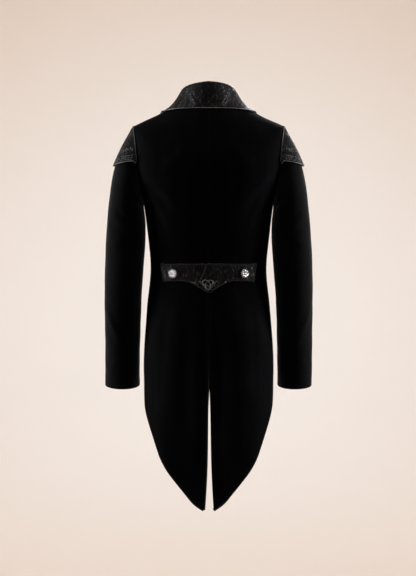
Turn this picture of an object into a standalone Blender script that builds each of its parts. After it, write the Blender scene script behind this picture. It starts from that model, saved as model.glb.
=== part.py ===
"""A worn tailcoat, seen in the photo from behind: coat cloth body and sleeves, brocade collar,
shoulder caps and half belt, corded edges and metal buttons. It keeps the hollow form of a wearer
who isn't there. Metres, +Z up, the front faces -Y, and the origin is between the two points where
the shoulder seams meet the neck, which is where a wearer holds it up."""

import math

import bmesh
import bpy
import numpy as np
from mathutils import Vector

# Cloth and seams
COAT_WALL = 0.0022
BROCADE_WALL = 0.0024
SEAM_GAP = 0.0003
CORD_RADIUS = 0.0013

# Heights of the main lines, at the side of the body
NECK_LEVEL = 0.0
SAME_LEVEL = 1e-6  # levels closer than this are the same
SHOULDER_LEVEL = -0.055
ARMPIT_LEVEL = -0.255
BUTTONED_LEVEL = -0.44
VENT_TOP = -0.697

# The body is a stack of rings. A ring's level is its height at the side. half_width is the outline
# from behind, back_y and front_y are the depths at the centre lines, back_z and front_z its
# heights there. Roundness 2 is an ellipse, and more is squarer.
RING_COLUMNS = ("level", "half_width", "back_y", "front_y", "back_z", "front_z", "roundness")
BODY_RINGS = (
    (-1.045, 0.1600, 0.112, -0.112, -1.045, -1.045, 2.2),
    (-0.900, 0.1630, 0.117, -0.115, -0.900, -0.900, 2.2),
    (-0.750, 0.1632, 0.119, -0.117, -0.750, -0.750, 2.2),
    (-0.640, 0.1658, 0.117, -0.117, -0.640, -0.640, 2.2),
    (-0.550, 0.1610, 0.106, -0.114, -0.550, -0.550, 2.2),
    (-0.490, 0.1535, 0.094, -0.112, -0.490, -0.490, 2.2),
    (-0.420, 0.1470, 0.086, -0.112, -0.420, -0.420, 2.2),
    (-0.360, 0.1522, 0.092, -0.118, -0.360, -0.360, 2.25),
    (-0.300, 0.1585, 0.102, -0.125, -0.301, -0.301, 2.3),
    (-0.255, 0.1650, 0.109, -0.128, -0.260, -0.262, 2.4),
    (-0.155, 0.1900, 0.116, -0.122, -0.190, -0.205, 2.5),
    (-0.055, 0.1915, 0.108, -0.104, -0.105, -0.138, 2.3),
    (-0.0495, 0.1805, 0.105, -0.102, -0.096, -0.131, 2.25),
    (-0.038, 0.1535, 0.099, -0.096, -0.076, -0.114, 2.15),
    (-0.028, 0.1335, 0.090, -0.088, -0.058, -0.098, 2.1),
    (0.000, 0.0815, 0.066, -0.070, -0.010, -0.052, 2.0),
)
SHOULDER_FALL = 1.5  # how soon a ring drops from the side towards the centre line
SHOULDER_EASE = 0.035  # rings are evened out over this height, away from the sides
EASE_SAMPLES = 5
SMALL_ANGLE = 0.5  # steps over which the surface's direction is measured
SMALL_LEVEL = 0.0005

# The hem, cut away from the front waist to the two points: angle round the body, height
HEM = (
    (4.8, -1.0235),
    (12.0, -1.0030),
    (25.5, -0.9610),
    (38.0, -0.9200),
    (49.0, -0.8810),
    (59.5, -0.8430),
    (69.5, -0.8075),
    (80.0, -0.7700),
    (90.0, -0.7350),
    (105.0, -0.6900),
    (120.0, -0.6380),
    (135.0, -0.5800),
    (150.0, -0.5230),
    (165.0, -0.4790),
    (180.0, -0.4620),
)

# The two tails hang apart below the vent: height, half of the gap
VENT = (
    (-1.0235, 0.0125),
    (-1.0030, 0.0106),
    (-0.9620, 0.0086),
    (-0.9250, 0.0066),
    (-0.8310, 0.0050),
    (-0.7290, 0.0034),
    (-0.7040, 0.0023),
    (VENT_TOP, 0.0),
)
TAIL_FOLD_DEPTH = 0.0035
TAIL_FOLD_TOP = -0.62
TAIL_FOLD_FULL = -0.92
TAIL_FOLD_ANGLE = 42.0

# Armhole: an ellipse in angle and level, its half widths in degrees behind and in front
ARMHOLE_BACK = 20.0
ARMHOLE_FRONT = 24.0

# How finely the panels of the body are divided, shoulder rows being closer together at the neck
BACK_COLUMNS = 10
FRONT_COLUMNS = 9
SKIRT_ROWS = 9
WAIST_ROWS = 5
SHOULDER_ROWS = 6
SHOULDER_ROW_SPREAD = 1.5

# Neckline: a slightly bowed line from the neck to the break of the lapels, seen from the front
NECKLINE_TOP = (0.0795, -0.004)
BREAK_POINT = (0.0120, -0.330)
NECKLINE_BOW = 0.006
LAP_ANGLE = 8.5  # each front runs this far past the centre line, left over right
LAP_DEPTH = 0.0029
LAP_SINK = (161.3, 171.5)  # the right front sinks by this depth between these angles
LAP_START = -0.300  # the right front starts to sink under the left one here
LAP_START_HEIGHT = 0.025
EDGE_TURN_HEIGHT = 0.030  # the neckline turns into the lapped edge over this height

# Sleeve sections, from the armhole to the cuff: the outer and the inner line as seen from behind,
# and how far the section reaches to the front and to the back. lean turns the cuff, in degrees.
SLEEVE_COLUMNS = ("outer_x", "outer_z", "inner_x", "inner_z", "front_y", "back_y", "lean")
SLEEVE_SECTIONS = (
    (0.1915, -0.0550, 0.1650, -0.2550, -0.060, 0.052, 0.0),
    (0.1990, -0.0705, 0.1653, -0.2580, -0.064, 0.055, 0.0),
    (0.2137, -0.0960, 0.1648, -0.2630, -0.067, 0.059, 0.0),
    (0.2280, -0.1260, 0.1640, -0.2690, -0.069, 0.062, 0.0),
    (0.2400, -0.1580, 0.1629, -0.2770, -0.070, 0.064, 0.0),
    (0.2488, -0.2000, 0.1612, -0.2900, -0.069, 0.065, 0.0),
    (0.2553, -0.2500, 0.1597, -0.3080, -0.067, 0.065, 0.0),
    (0.2602, -0.3000, 0.1597, -0.3320, -0.064, 0.064, 0.0),
    (0.2637, -0.3550, 0.1616, -0.3680, -0.061, 0.063, 2.0),
    (0.2658, -0.4200, 0.1648, -0.4230, -0.058, 0.061, 5.0),
    (0.2668, -0.4900, 0.1702, -0.4910, -0.064, 0.052, 8.0),
    (0.2664, -0.5700, 0.1728, -0.5710, -0.076, 0.038, 10.0),
    (0.2664, -0.6450, 0.1758, -0.6460, -0.091, 0.019, 12.0),
    (0.2664, -0.7150, 0.1762, -0.7155, -0.105, -0.003, 12.0),
)
SLEEVE_ROUNDNESS = 2.1
SLEEVE_STEPS = 17
SLEEVE_STEP_SPREAD = 1.15  # rows are closer together at the armhole
SMALL_TURN = 0.6  # steps over which the sleeve's direction is measured
SMALL_SECTION = 0.03
ARMHOLE_STEPS = 20  # vertices round the armhole
BLEND_SECTIONS = 3.5  # the armhole's own outline fades into the sleeve over this many sections
HIND_SEAM = 126.0  # where the under sleeve starts, in degrees round the arm from its outer line
FORE_SEAM = 234.0

# The largest creases of a sleeve: section number, degrees round the arm, their spreads, depth
SLEEVE_CREASES = (
    (8.4, 95.0, 0.55, 45.0, 0.0030),
    (9.8, 250.0, 0.50, 60.0, 0.0035),
    (11.6, 75.0, 0.45, 50.0, 0.0028),
    (12.4, 120.0, 0.30, 45.0, -0.0024),
)

# Shoulder cap: how far round the armhole it is sewn, and its lower edge
CAP_HALF_ANGLE = 81.0
CAP_COLUMNS = 18
CAP_ROWS = 4
CAP_START_AT_TOP = 0.0034  # the cord lies between the armhole and the cap
CAP_START_AT_END = 0.0060
CAP_EDGE_OUTER = -0.1545
CAP_EDGE_AT_SEAM = -0.1450
CAP_LIFT_AT_SEAM = 0.0007
CAP_LIFT_AT_EDGE = 0.0024

# Collar and lapels in one: run is the way along the seam from the centre back. The stand rises
# out of the coat's surface by stand_rise degrees, then the fall comes down to an edge that lies
# at an angle and level of the body. The more cling, the sooner the fall lies down on the coat.
COLLAR_COLUMNS = ("run", "stand_height", "stand_rise", "edge_angle", "edge_level", "cling")
COLLAR_SECTIONS = (
    (0.000, 0.0615, 24.0, 0.0, -0.0015, 1.0),
    (0.030, 0.0575, 25.0, 21.0, -0.0021, 1.2),
    (0.060, 0.0520, 28.0, 44.0, -0.0050, 2.0),
    (0.090, 0.0455, 33.0, 68.0, -0.0115, 3.4),
    (0.117, 0.0395, 36.0, 90.0, -0.0195, 4.6),
    (0.134, 0.0330, 31.0, 103.5, -0.0230, 4.0),
    (0.160, 0.0220, 20.0, 119.0, -0.0285, 3.0),
    (0.200, 0.0120, 10.0, 131.5, -0.0425, 3.0),
    (0.236, 0.0080, 5.0, 140.5, -0.0620, 3.0),
    (0.282, 0.0060, 2.0, 147.5, -0.0980, 3.0),
    (0.326, 0.0050, 0.0, 152.3, -0.1450, 3.0),
    (0.364, 0.0045, 0.0, 155.2, -0.1930, 3.0),
    (0.400, 0.0045, 0.0, 157.5, -0.2420, 3.0),
    (0.430, 0.0045, 0.0, 161.2, -0.2770, 3.0),
    (0.458, 0.0045, 0.0, 165.7, -0.3040, 3.0),
    (0.494, 0.0045, 0.0, 172.2, -0.3340, 3.0),
)
ROLL_RADIUS = 0.0017
COLLAR_LIFT = 0.0020
STAND_STEPS = 2
ROLL_STEPS = 3
FALL_STEPS = 7
FALL_STEP_SPREAD = 1.25  # columns are closer together at the roll
COLLAR_BACK_STEPS = 10

# Half belt on the back of the waist, its lower edge dipping to a point below the knot
BELT_HALF_LENGTH = 0.1175
BELT_TOP = -0.4085
BELT_BOTTOM = -0.4470
BELT_POINT = -0.4795
BELT_POINT_HALF_WIDTH = 0.062
BELT_POINT_SHARPNESS = 1.5
BELT_END_SLANT = 0.007
BELT_OVERLAP_TOP = 0.003
BELT_OVERLAP_BOTTOM = 0.026
BELT_LIFT = 0.0012
BELT_LAP_STEP = 0.0030  # how far the right half is raised over the left one
BELT_LAP_RISE = (-0.030, -0.006)  # it rises between these two places
BELT_COLUMNS = 14
BELT_ROWS = 4

# Corded trefoil knot on the belt
KNOT_CENTRE = (0.002, -0.4580)
KNOT_SIZE = 0.0046
KNOT_RISE = 0.0019
KNOT_CORD_RADIUS = 0.0016
KNOT_STEPS = 48

# Buttons, an outline from the top down that is turned: radius, height over the button's back
BUTTON_PROFILE = (
    (0.0000, 0.0052),
    (0.0030, 0.0046),
    (0.0046, 0.0032),
    (0.0072, 0.0026),
    (0.0096, 0.0030),
    (0.0106, 0.0022),
    (0.0106, 0.0008),
    (0.0096, 0.0000),
    (0.0000, 0.0000),
)
BUTTON_SIDES = 12
BELT_BUTTON = (0.0888, -0.4300)
FRONT_BUTTON_HEIGHTS = (-0.3640, -0.4010, -0.4380)

MIRROR = np.array([-1.0, 1.0, 1.0])


def curve_through(knots, values):
    """A smooth curve through the values that never overshoots them (monotone cubic)."""
    x = np.asarray(knots, float)
    y = np.asarray(values, float)
    steps = np.diff(x)
    slopes = np.diff(y) / steps
    tangents = np.zeros_like(y)
    for k in range(1, len(x) - 1):
        before, after = slopes[k - 1], slopes[k]
        if before * after > 0:
            w1 = 2 * steps[k] + steps[k - 1]
            w2 = steps[k] + 2 * steps[k - 1]
            tangents[k] = (w1 + w2) / (w1 / before + w2 / after)
    tangents[0], tangents[-1] = slopes[0], slopes[-1]

    def at(value):
        value = np.clip(np.asarray(value, float), x[0], x[-1])
        k = np.clip(np.searchsorted(x, value) - 1, 0, len(x) - 2)
        t = (value - x[k]) / steps[k]
        return (
            y[k] * (1 + 2 * t) * (1 - t) ** 2
            + tangents[k] * steps[k] * t * (1 - t) ** 2
            + y[k + 1] * t * t * (3 - 2 * t)
            + tangents[k + 1] * steps[k] * t * t * (t - 1)
        )

    return at


def table(rows, columns, knots=None):
    """One curve for each named column, over the knots or else over the first column."""
    values = list(zip(*rows))
    keys = values[0] if knots is None else knots
    return {name: curve_through(keys, column) for name, column in zip(columns, values)}


def smooth_step(value):
    t = np.clip(value, 0.0, 1.0)
    return t * t * (3 - 2 * t)


def unit(vectors):
    return vectors / np.linalg.norm(vectors, axis=-1, keepdims=True)


def dot(a, b):
    return (a * b).sum(axis=-1, keepdims=True)


def power(value, exponent):
    """A power that keeps the sign."""
    return np.sign(value) * np.abs(value) ** exponent


def halfway(low, high, wanted, function):
    """Where a rising function reaches the wanted value, by halving."""
    for _ in range(32):
        middle = (low + high) / 2
        below = function(middle) < wanted
        low = np.where(below, middle, low)
        high = np.where(below, high, middle)
    return (low + high) / 2


# The coat's outer surface
RING = table(BODY_RINGS, RING_COLUMNS)
HEM_HEIGHT = curve_through(*zip(*HEM))
VENT_HALF_GAP = curve_through(*zip(*VENT))


def tail_fold(angle, level):
    """Outward shift of the cloth where the tails hang in soft folds."""
    share = smooth_step((TAIL_FOLD_TOP - level) / (TAIL_FOLD_TOP - TAIL_FOLD_FULL))
    depth = TAIL_FOLD_DEPTH * share
    return depth * np.cos(2 * math.pi * angle / TAIL_FOLD_ANGLE)


def body(angle, level):
    """A point of the coat's outer surface: angle 0 is the centre back, 90 the side, 180 the front."""
    angle, level = np.broadcast_arrays(np.asarray(angle, float), np.asarray(level, float))
    turn = np.radians(angle)
    sine, cosine = np.sin(turn), np.cos(turn)
    spread = np.minimum(SHOULDER_EASE * np.abs(cosine), NECK_LEVEL - level)
    spread = np.maximum(spread, 0)
    samples = np.linspace(-1, 1, EASE_SAMPLES).reshape((EASE_SAMPLES,) + (1,) * level.ndim)
    near = level + spread * samples
    ring = {name: RING[name](near).mean(axis=0) for name in RING_COLUMNS}
    behind = cosine > 0
    shape = 2 / ring["roundness"]
    depth = np.where(behind, ring["back_y"], -ring["front_y"])
    centre_z = np.where(behind, ring["back_z"], ring["front_z"])
    fold = tail_fold(angle, level)
    x = (ring["half_width"] + fold) * power(sine, shape)
    y = (depth + fold) * power(cosine, shape)
    z = level + (centre_z - level) * np.abs(cosine) ** SHOULDER_FALL
    return np.stack([x, y, z], axis=-1)


def body_normal(angle, level):
    """The surface's outward direction."""
    angle = np.asarray(angle, float)
    level = np.minimum(level, NECK_LEVEL - SMALL_LEVEL)
    round_body = body(angle + SMALL_ANGLE, level) - body(angle - SMALL_ANGLE, level)
    up_body = body(angle, level + SMALL_LEVEL) - body(angle, level - SMALL_LEVEL)
    return unit(np.cross(up_body, round_body))


def angle_at(x, level):
    """The angle where the back's surface is this far from the middle."""
    return halfway(0.0, 90.0, x, lambda angle: body(angle, level)[..., 0])


def place_on_back(x, z):
    """(angle, level) of the back's point with this x, not negative, and this z."""
    level = np.array(z, float)
    for _ in range(6):
        angle = angle_at(x, level)
        level = level + z - body(angle, level)[..., 2]
    return angle, level


def neckline_angle(level):
    """Angle of a front's edge along the neckline."""

    def excess(angle):
        point = body(angle, level)
        share = (point[..., 2] - BREAK_POINT[1]) / (NECKLINE_TOP[1] - BREAK_POINT[1])
        share = np.clip(share, 0, 1)
        straight = BREAK_POINT[0] + (NECKLINE_TOP[0] - BREAK_POINT[0]) * share
        return straight + NECKLINE_BOW * np.sin(math.pi * share) - point[..., 0]

    return halfway(90.0, 180.0, 0.0, excess)


def front_edge_angle(level):
    """Angle of a front's edge: the neckline, and below the break the lapped edge."""
    level = np.asarray(level, float)
    above = neckline_angle(np.maximum(level, BREAK_POINT[1]))
    share = smooth_step((BREAK_POINT[1] - level) / EDGE_TURN_HEIGHT)
    return above + (180.0 + LAP_ANGLE - above) * share


# Ways to make objects
def material(name, colour, roughness, metallic=0.0):
    made = bpy.data.materials.new(name)
    made.use_nodes = True
    shader = made.node_tree.nodes["Principled BSDF"]
    shader.inputs["Base Color"].default_value = (*colour, 1)
    shader.inputs["Roughness"].default_value = roughness
    shader.inputs["Metallic"].default_value = metallic
    made.diffuse_color = (*colour, 1)
    return made


def add_object(name, data, finish):
    made = bpy.data.objects.new(name, data)
    data.materials.append(finish)
    COAT.objects.link(made)
    return made


def mesh_wall(name, outer, inner, finish):
    """A cloth wall lofted between two grids of points, its rims closed."""
    rows, columns = outer.shape[:2]
    build = bmesh.new()
    layers = [[[build.verts.new(point) for point in row] for row in grid] for grid in (outer, inner)]
    for layer in layers:
        for i in range(rows - 1):
            for j in range(columns - 1):
                corners = (layer[i][j], layer[i][j + 1], layer[i + 1][j + 1], layer[i + 1][j])
                build.faces.new(corners)
    numbers = rim_of(np.arange(rows * columns).reshape(rows, columns))
    rims = [[layer[n // columns][n % columns] for n in numbers] for layer in layers]
    for k in range(len(numbers)):
        build.faces.new((rims[0][k - 1], rims[0][k], rims[1][k], rims[1][k - 1]))
    bmesh.ops.recalc_face_normals(build, faces=build.faces)
    mesh = bpy.data.meshes.new(name)
    build.to_mesh(mesh)
    build.free()
    mesh.shade_smooth()
    mesh.set_sharp_from_angle(angle=math.radians(50))
    return add_object(name, mesh, finish)


def mesh_pair(name, outer, inner, finish):
    """The wearer's left piece, and its mirror image on the right."""
    mesh_wall(name + "_left", outer, inner, finish)
    mesh_wall(name + "_right", outer * MIRROR, inner * MIRROR, finish)


def cord(name, path, radius, cyclic=False):
    """A round cord along a path of points."""
    curve = bpy.data.curves.new(name, "CURVE")
    curve.dimensions = "3D"
    curve.bevel_depth = radius
    curve.bevel_resolution = 1
    curve.use_fill_caps = not cyclic
    spline = curve.splines.new("POLY")
    spline.points.add(len(path) - 1)
    for point, place in zip(spline.points, path):
        point.co = (*place, 1)
    spline.use_cyclic_u = cyclic
    spline.use_smooth = True
    return add_object(name, curve, CORD)


def cord_pair(name, path, radius):
    cord(name + "_left", path, radius)
    cord(name + "_right", path * MIRROR, radius)


def button(name, seat, outward):
    """A round button on its seat point, facing outward."""
    build = bmesh.new()
    corners = [build.verts.new((radius, 0, height)) for radius, height in BUTTON_PROFILE]
    for start, end in zip(corners, corners[1:]):
        build.edges.new((start, end))
    profile = bpy.data.meshes.new(name)
    build.to_mesh(profile)
    build.free()
    made = add_object(name, profile, BUTTON_METAL)
    made.location = seat
    made.rotation_mode = "QUATERNION"
    made.rotation_quaternion = Vector(outward).to_track_quat("Z", "Y")
    turned = made.modifiers.new("turned", "SCREW")
    turned.steps = BUTTON_SIDES
    turned.render_steps = BUTTON_SIDES
    turned.use_merge_vertices = True
    turned.merge_threshold = 0.00001


def inset(grid):
    """Moves a grid's rim inwards, along the grid, by half of a seam's gap."""
    moved = grid.copy()
    half = SEAM_GAP / 2
    moved[:, 0] += half * unit(grid[:, 1] - grid[:, 0])
    moved[:, -1] += half * unit(grid[:, -2] - grid[:, -1])
    moved[0] += half * unit(grid[1] - grid[0])
    moved[-1] += half * unit(grid[-2] - grid[-1])
    return moved


def beside(path, normals, distance, cyclic=False):
    """A path moved sideways by a distance, its corners mitred. It runs on the left of the given
    path as seen from outside."""
    after = np.roll(path, -1, axis=0) - path
    side = unit(np.cross(normals, after))
    before = np.roll(side, 1, axis=0)
    if not cyclic:
        side[-1] = side[-2]
        before[0] = side[0]
    return path + (side + before) / (1 + dot(side, before)) * distance


def rim_of(grid):
    """The outermost points of a grid, once round: first row, last column, last row, first column."""
    parts = [grid[0], grid[1:, -1], grid[-1, -2::-1], grid[-2:0:-1, 0]]
    return np.concatenate(parts)


def mitre(wall, normal, away, other_away):
    """From a seam's outer edge to its inner edge. It stays on its own side of the seam's bisecting
    plane, so that two walls that meet at a bend don't run into each other."""
    inward = -wall * normal
    across = unit(away - other_away)
    over = np.minimum(dot(inward, across), 0)
    return inward - away * over / dot(away, across)


# Armhole and sleeve
def armhole_place(turn):
    """(angle, level) on the body, turn degrees round the armhole from its top, towards the back."""
    half_height = (SHOULDER_LEVEL - ARMPIT_LEVEL) / 2
    level = SHOULDER_LEVEL - half_height + half_height * np.cos(np.radians(turn))
    sine = np.sin(np.radians(turn))
    half_width = np.where(sine > 0, ARMHOLE_BACK, ARMHOLE_FRONT)
    return 90 - half_width * sine, level


def armhole(turn):
    return body(*armhole_place(turn))


SLEEVE = table(SLEEVE_SECTIONS, SLEEVE_COLUMNS, knots=range(len(SLEEVE_SECTIONS)))


def sleeve_section(turn, section):
    """A point of a plain sleeve section, between its outer and its inner line."""
    sine, cosine = np.sin(np.radians(turn)), np.cos(np.radians(turn))
    shape = 2 / SLEEVE_ROUNDNESS
    zero = np.zeros_like(section)
    outer = np.stack([SLEEVE["outer_x"](section), zero, SLEEVE["outer_z"](section)], axis=-1)
    inner = np.stack([SLEEVE["inner_x"](section), zero, SLEEVE["inner_z"](section)], axis=-1)
    centre = (outer + inner) / 2
    centre[..., 1] = (SLEEVE["front_y"](section) + SLEEVE["back_y"](section)) / 2
    depth = (SLEEVE["back_y"](section) - SLEEVE["front_y"](section)) / 2
    lean = np.radians(SLEEVE["lean"](section))
    backward = np.stack([zero, np.cos(lean), -np.sin(lean)], axis=-1)
    across = (outer - inner) / 2
    return (
        centre
        + across * power(cosine, shape)[..., None]
        + backward * (depth * power(sine, shape))[..., None]
    )


def crease(turn, section):
    """Inward shift of a sleeve's surface in its creases."""
    total = 0.0
    for at, angle, section_spread, angle_spread, depth in SLEEVE_CREASES:
        around = (turn - angle + 180) % 360 - 180
        far = ((section - at) / section_spread) ** 2 + (around / angle_spread) ** 2
        total = total + depth * np.exp(-far)
    return total


def sleeve_form(turn, section):
    """The sleeve's outer surface without creases. Section 0 is the armhole itself."""
    fade = 1 - smooth_step(section / BLEND_SECTIONS)
    own = armhole(turn) - sleeve_section(turn, np.zeros_like(section))
    return sleeve_section(turn, section) + own * fade[..., None]


def sleeve_normal(turn, section):
    last = len(SLEEVE_SECTIONS) - 1
    section = np.clip(section, SMALL_SECTION, last - SMALL_SECTION)
    round_arm = sleeve_form(turn + SMALL_TURN, section) - sleeve_form(turn - SMALL_TURN, section)
    lower = sleeve_form(turn, section + SMALL_SECTION)
    down_arm = lower - sleeve_form(turn, section - SMALL_SECTION)
    return unit(np.cross(down_arm, round_arm))


def sleeve(turn, section, lift=0.0):
    """The sleeve's outer surface, or points lifted off it."""
    shift = lift - crease(turn, section)
    return sleeve_form(turn, section) + sleeve_normal(turn, section) * shift[..., None]


def armhole_seam(turn):
    """At the armhole: the body's and the sleeve's outward directions, and each one's way from it."""
    along = unit(armhole(turn + SMALL_TURN) - armhole(turn - SMALL_TURN))
    body_out = body_normal(*armhole_place(turn))
    sleeve_out = sleeve_normal(turn, np.zeros_like(turn))
    to_body = unit(np.cross(body_out, along))
    to_sleeve = unit(np.cross(along, sleeve_out))
    return body_out, sleeve_out, to_body, to_sleeve


def panel_levels():
    """Levels of a panel's rows at the side seam, the same on backs and fronts."""
    skirt = np.linspace(float(HEM_HEIGHT(90.0)), BUTTONED_LEVEL, SKIRT_ROWS + 1)
    waist = np.linspace(BUTTONED_LEVEL, ARMPIT_LEVEL, WAIST_ROWS + 1)[1:]
    turns = 180.0 - np.arange(1, ARMHOLE_STEPS // 2 + 1) * 360.0 / ARMHOLE_STEPS
    chest = armhole_place(turns)[1]
    shoulder = SHOULDER_LEVEL * np.linspace(1, 0, SHOULDER_ROWS + 1)[1:] ** SHOULDER_ROW_SPREAD
    return np.concatenate([skirt, waist, chest, shoulder])


def side_edge(level, half_width):
    """Angle of a panel's side edge: the side seam, the armhole, then the shoulder seam."""
    middle = (SHOULDER_LEVEL + ARMPIT_LEVEL) / 2
    share = np.clip((level - middle) / ((SHOULDER_LEVEL - ARMPIT_LEVEL) / 2), -1, 1)
    return 90 + half_width * np.sqrt(1 - share**2)


def body_panel(columns, side_half_width, centre_edge):
    """Angles and levels of a panel's points, in rows from its side edge to its centre edge. Below
    the waist the rows spread so that the last one is the hem."""
    levels = panel_levels()[:, None]
    side = side_edge(levels, side_half_width)
    shares = np.linspace(0, 1, columns + 1)[None, :]
    heights = levels + np.zeros_like(shares)
    for _ in range(12):
        angles = side + (centre_edge(heights) - side) * shares
        hem = HEM_HEIGHT(np.minimum(angles, 360 - angles))
        stretch = (hem - BUTTONED_LEVEL) / (levels[0] - BUTTONED_LEVEL)
        lowered = BUTTONED_LEVEL + (levels - BUTTONED_LEVEL) * stretch
        heights = np.where(levels < BUTTONED_LEVEL, lowered, levels + np.zeros_like(shares))
    return angles, heights


def panel_walls(angles, heights, sink=0.0):
    """The two faces of a panel. Along the armhole the rim is mitred against the sleeve's."""
    normals = body_normal(angles, heights)
    outer = body(angles, heights) - normals * np.asarray(sink)[..., None]
    inner = outer - normals * COAT_WALL
    levels = heights[:, 0]
    beside = (levels > ARMPIT_LEVEL - SAME_LEVEL) & (levels < SHOULDER_LEVEL + SAME_LEVEL)
    middle = (SHOULDER_LEVEL + ARMPIT_LEVEL) / 2
    share = (levels[beside] - middle) / ((SHOULDER_LEVEL - ARMPIT_LEVEL) / 2)
    turn = np.degrees(np.arccos(np.clip(share, -1, 1)))
    turn = np.where(angles[beside, 0] > 90, -turn, turn)
    body_out, _, to_body, to_sleeve = armhole_seam(turn)
    inner[beside, 0] = outer[beside, 0] + mitre(COAT_WALL, body_out, to_body, to_sleeve)
    return inset(outer), inset(inner)


def back_centre_edge(height):
    half_gap = np.where(height < VENT_TOP, VENT_HALF_GAP(height), 0.0)
    return angle_at(half_gap, height)


# The build
for old in list(bpy.data.objects):
    bpy.data.objects.remove(old)
COAT = bpy.data.collections.new("tailcoat")
bpy.context.scene.collection.children.link(COAT)
COAT_CLOTH = material("coat_cloth", (0.012, 0.012, 0.014), 0.75)
BROCADE = material("black_brocade", (0.03, 0.03, 0.034), 0.45)
CORD = material("satin_cord", (0.035, 0.035, 0.038), 0.4)
BUTTON_METAL = material("antique_silver", (0.55, 0.55, 0.56), 0.35, 1.0)


def make_backs():
    """Two backs, each in one piece from the neck to its tail, joined by the centre back seam."""
    angles, heights = body_panel(BACK_COLUMNS, -ARMHOLE_BACK, back_centre_edge)
    outer, inner = panel_walls(angles, heights)
    mesh_pair("back", outer, inner, COAT_CLOTH)


def make_fronts():
    """Two fronts, cut away below the waist. The right one is tucked in under the left."""
    angles, heights = body_panel(FRONT_COLUMNS, ARMHOLE_FRONT, front_edge_angle)
    outer, inner = panel_walls(angles, heights)
    mesh_wall("front_left", outer, inner, COAT_CLOTH)
    sink_start, sink_end = LAP_SINK
    sink = LAP_DEPTH * smooth_step((angles - sink_start) / (sink_end - sink_start))
    sink = sink * smooth_step((LAP_START - heights) / LAP_START_HEIGHT)
    outer, inner = panel_walls(angles, heights, sink)
    mesh_wall("front_right", outer * MIRROR, inner * MIRROR, COAT_CLOTH)


def make_sleeves():
    """Two-piece sleeves: a top sleeve over the outside, an under sleeve against the body."""
    step = 360.0 / ARMHOLE_STEPS
    last = len(SLEEVE_SECTIONS) - 1
    sections = last * (np.arange(SLEEVE_STEPS + 1) / SLEEVE_STEPS) ** SLEEVE_STEP_SPREAD
    under = np.arange(HIND_SEAM, FORE_SEAM + 1, step)
    top = np.arange(FORE_SEAM, HIND_SEAM + 361, step) % 360
    for name, turns in (("under_sleeve", under), ("top_sleeve", top)):
        turn, section = np.meshgrid(turns, sections)
        outer = sleeve(turn, section)
        inner = outer - sleeve_normal(turn, section) * COAT_WALL
        _, sleeve_out, to_body, to_sleeve = armhole_seam(turns)
        outer[0] += to_sleeve * SEAM_GAP
        inner[0] = outer[0] + mitre(COAT_WALL, sleeve_out, to_sleeve, to_body)
        mesh_pair(name, inset(outer), inset(inner), COAT_CLOTH)


def cap_sections(turns):
    """Section numbers of a cap's points from the armhole to its lower edge, a column a turn. The
    cap starts within the first two sections and ends within eight more."""

    def from_armhole(section):
        return np.linalg.norm(sleeve_form(turns, section) - armhole(turns), axis=-1)

    def below_neck(section):
        return -sleeve_form(turns, section)[..., 2]

    rounded = np.sin(np.radians(turns)) ** 2
    clear = CAP_START_AT_TOP + (CAP_START_AT_END - CAP_START_AT_TOP) * rounded
    start = halfway(np.zeros_like(turns), np.full_like(turns, 2.0), clear, from_armhole)
    edge_z = CAP_EDGE_OUTER + (CAP_EDGE_AT_SEAM - CAP_EDGE_OUTER) * rounded
    end = halfway(start, start + 8.0, -edge_z, below_neck)
    return start + (end - start) * np.linspace(0, 1, CAP_ROWS + 1)[:, None]


def make_shoulder_caps():
    """Brocade flaps over the sleeve heads, a cord on the armhole seam and one on the free edge."""
    turns = np.linspace(-CAP_HALF_ANGLE, CAP_HALF_ANGLE, CAP_COLUMNS + 1)
    sections = cap_sections(turns)
    turn = turns + np.zeros_like(sections)
    share = np.linspace(0, 1, CAP_ROWS + 1)[:, None] + np.zeros_like(turn)
    lift = CAP_LIFT_AT_SEAM + (CAP_LIFT_AT_EDGE - CAP_LIFT_AT_SEAM) * share**2
    under = sleeve(turn, sections, lift)
    over = sleeve(turn, sections, lift + BROCADE_WALL)
    mesh_pair("shoulder_cap", over, under, BROCADE)
    middle = (over + under) / 2
    edge = beside(middle[-1], (under - over)[-1], CORD_RADIUS + SEAM_GAP)
    cord_pair("cap_edge_cord", edge, CORD_RADIUS)
    body_out, sleeve_out, _, _ = armhole_seam(turns)
    outward = unit(body_out + sleeve_out)
    clear = (CORD_RADIUS + SEAM_GAP) / dot(outward, body_out)
    cord_pair("armhole_cord", armhole(turns) + outward * clear, CORD_RADIUS)


def collar_seam():
    """(angle, level) along the coat's neck edge from the centre back to the break, at the points
    where the panels have vertices."""
    behind = np.linspace(0, 90, COLLAR_BACK_STEPS + 1)
    levels = panel_levels()[::-1]
    levels = levels[levels > BREAK_POINT[1] - SAME_LEVEL]
    angles = np.concatenate([behind, front_edge_angle(levels)])
    return angles, np.concatenate([np.zeros_like(behind), levels])


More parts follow.
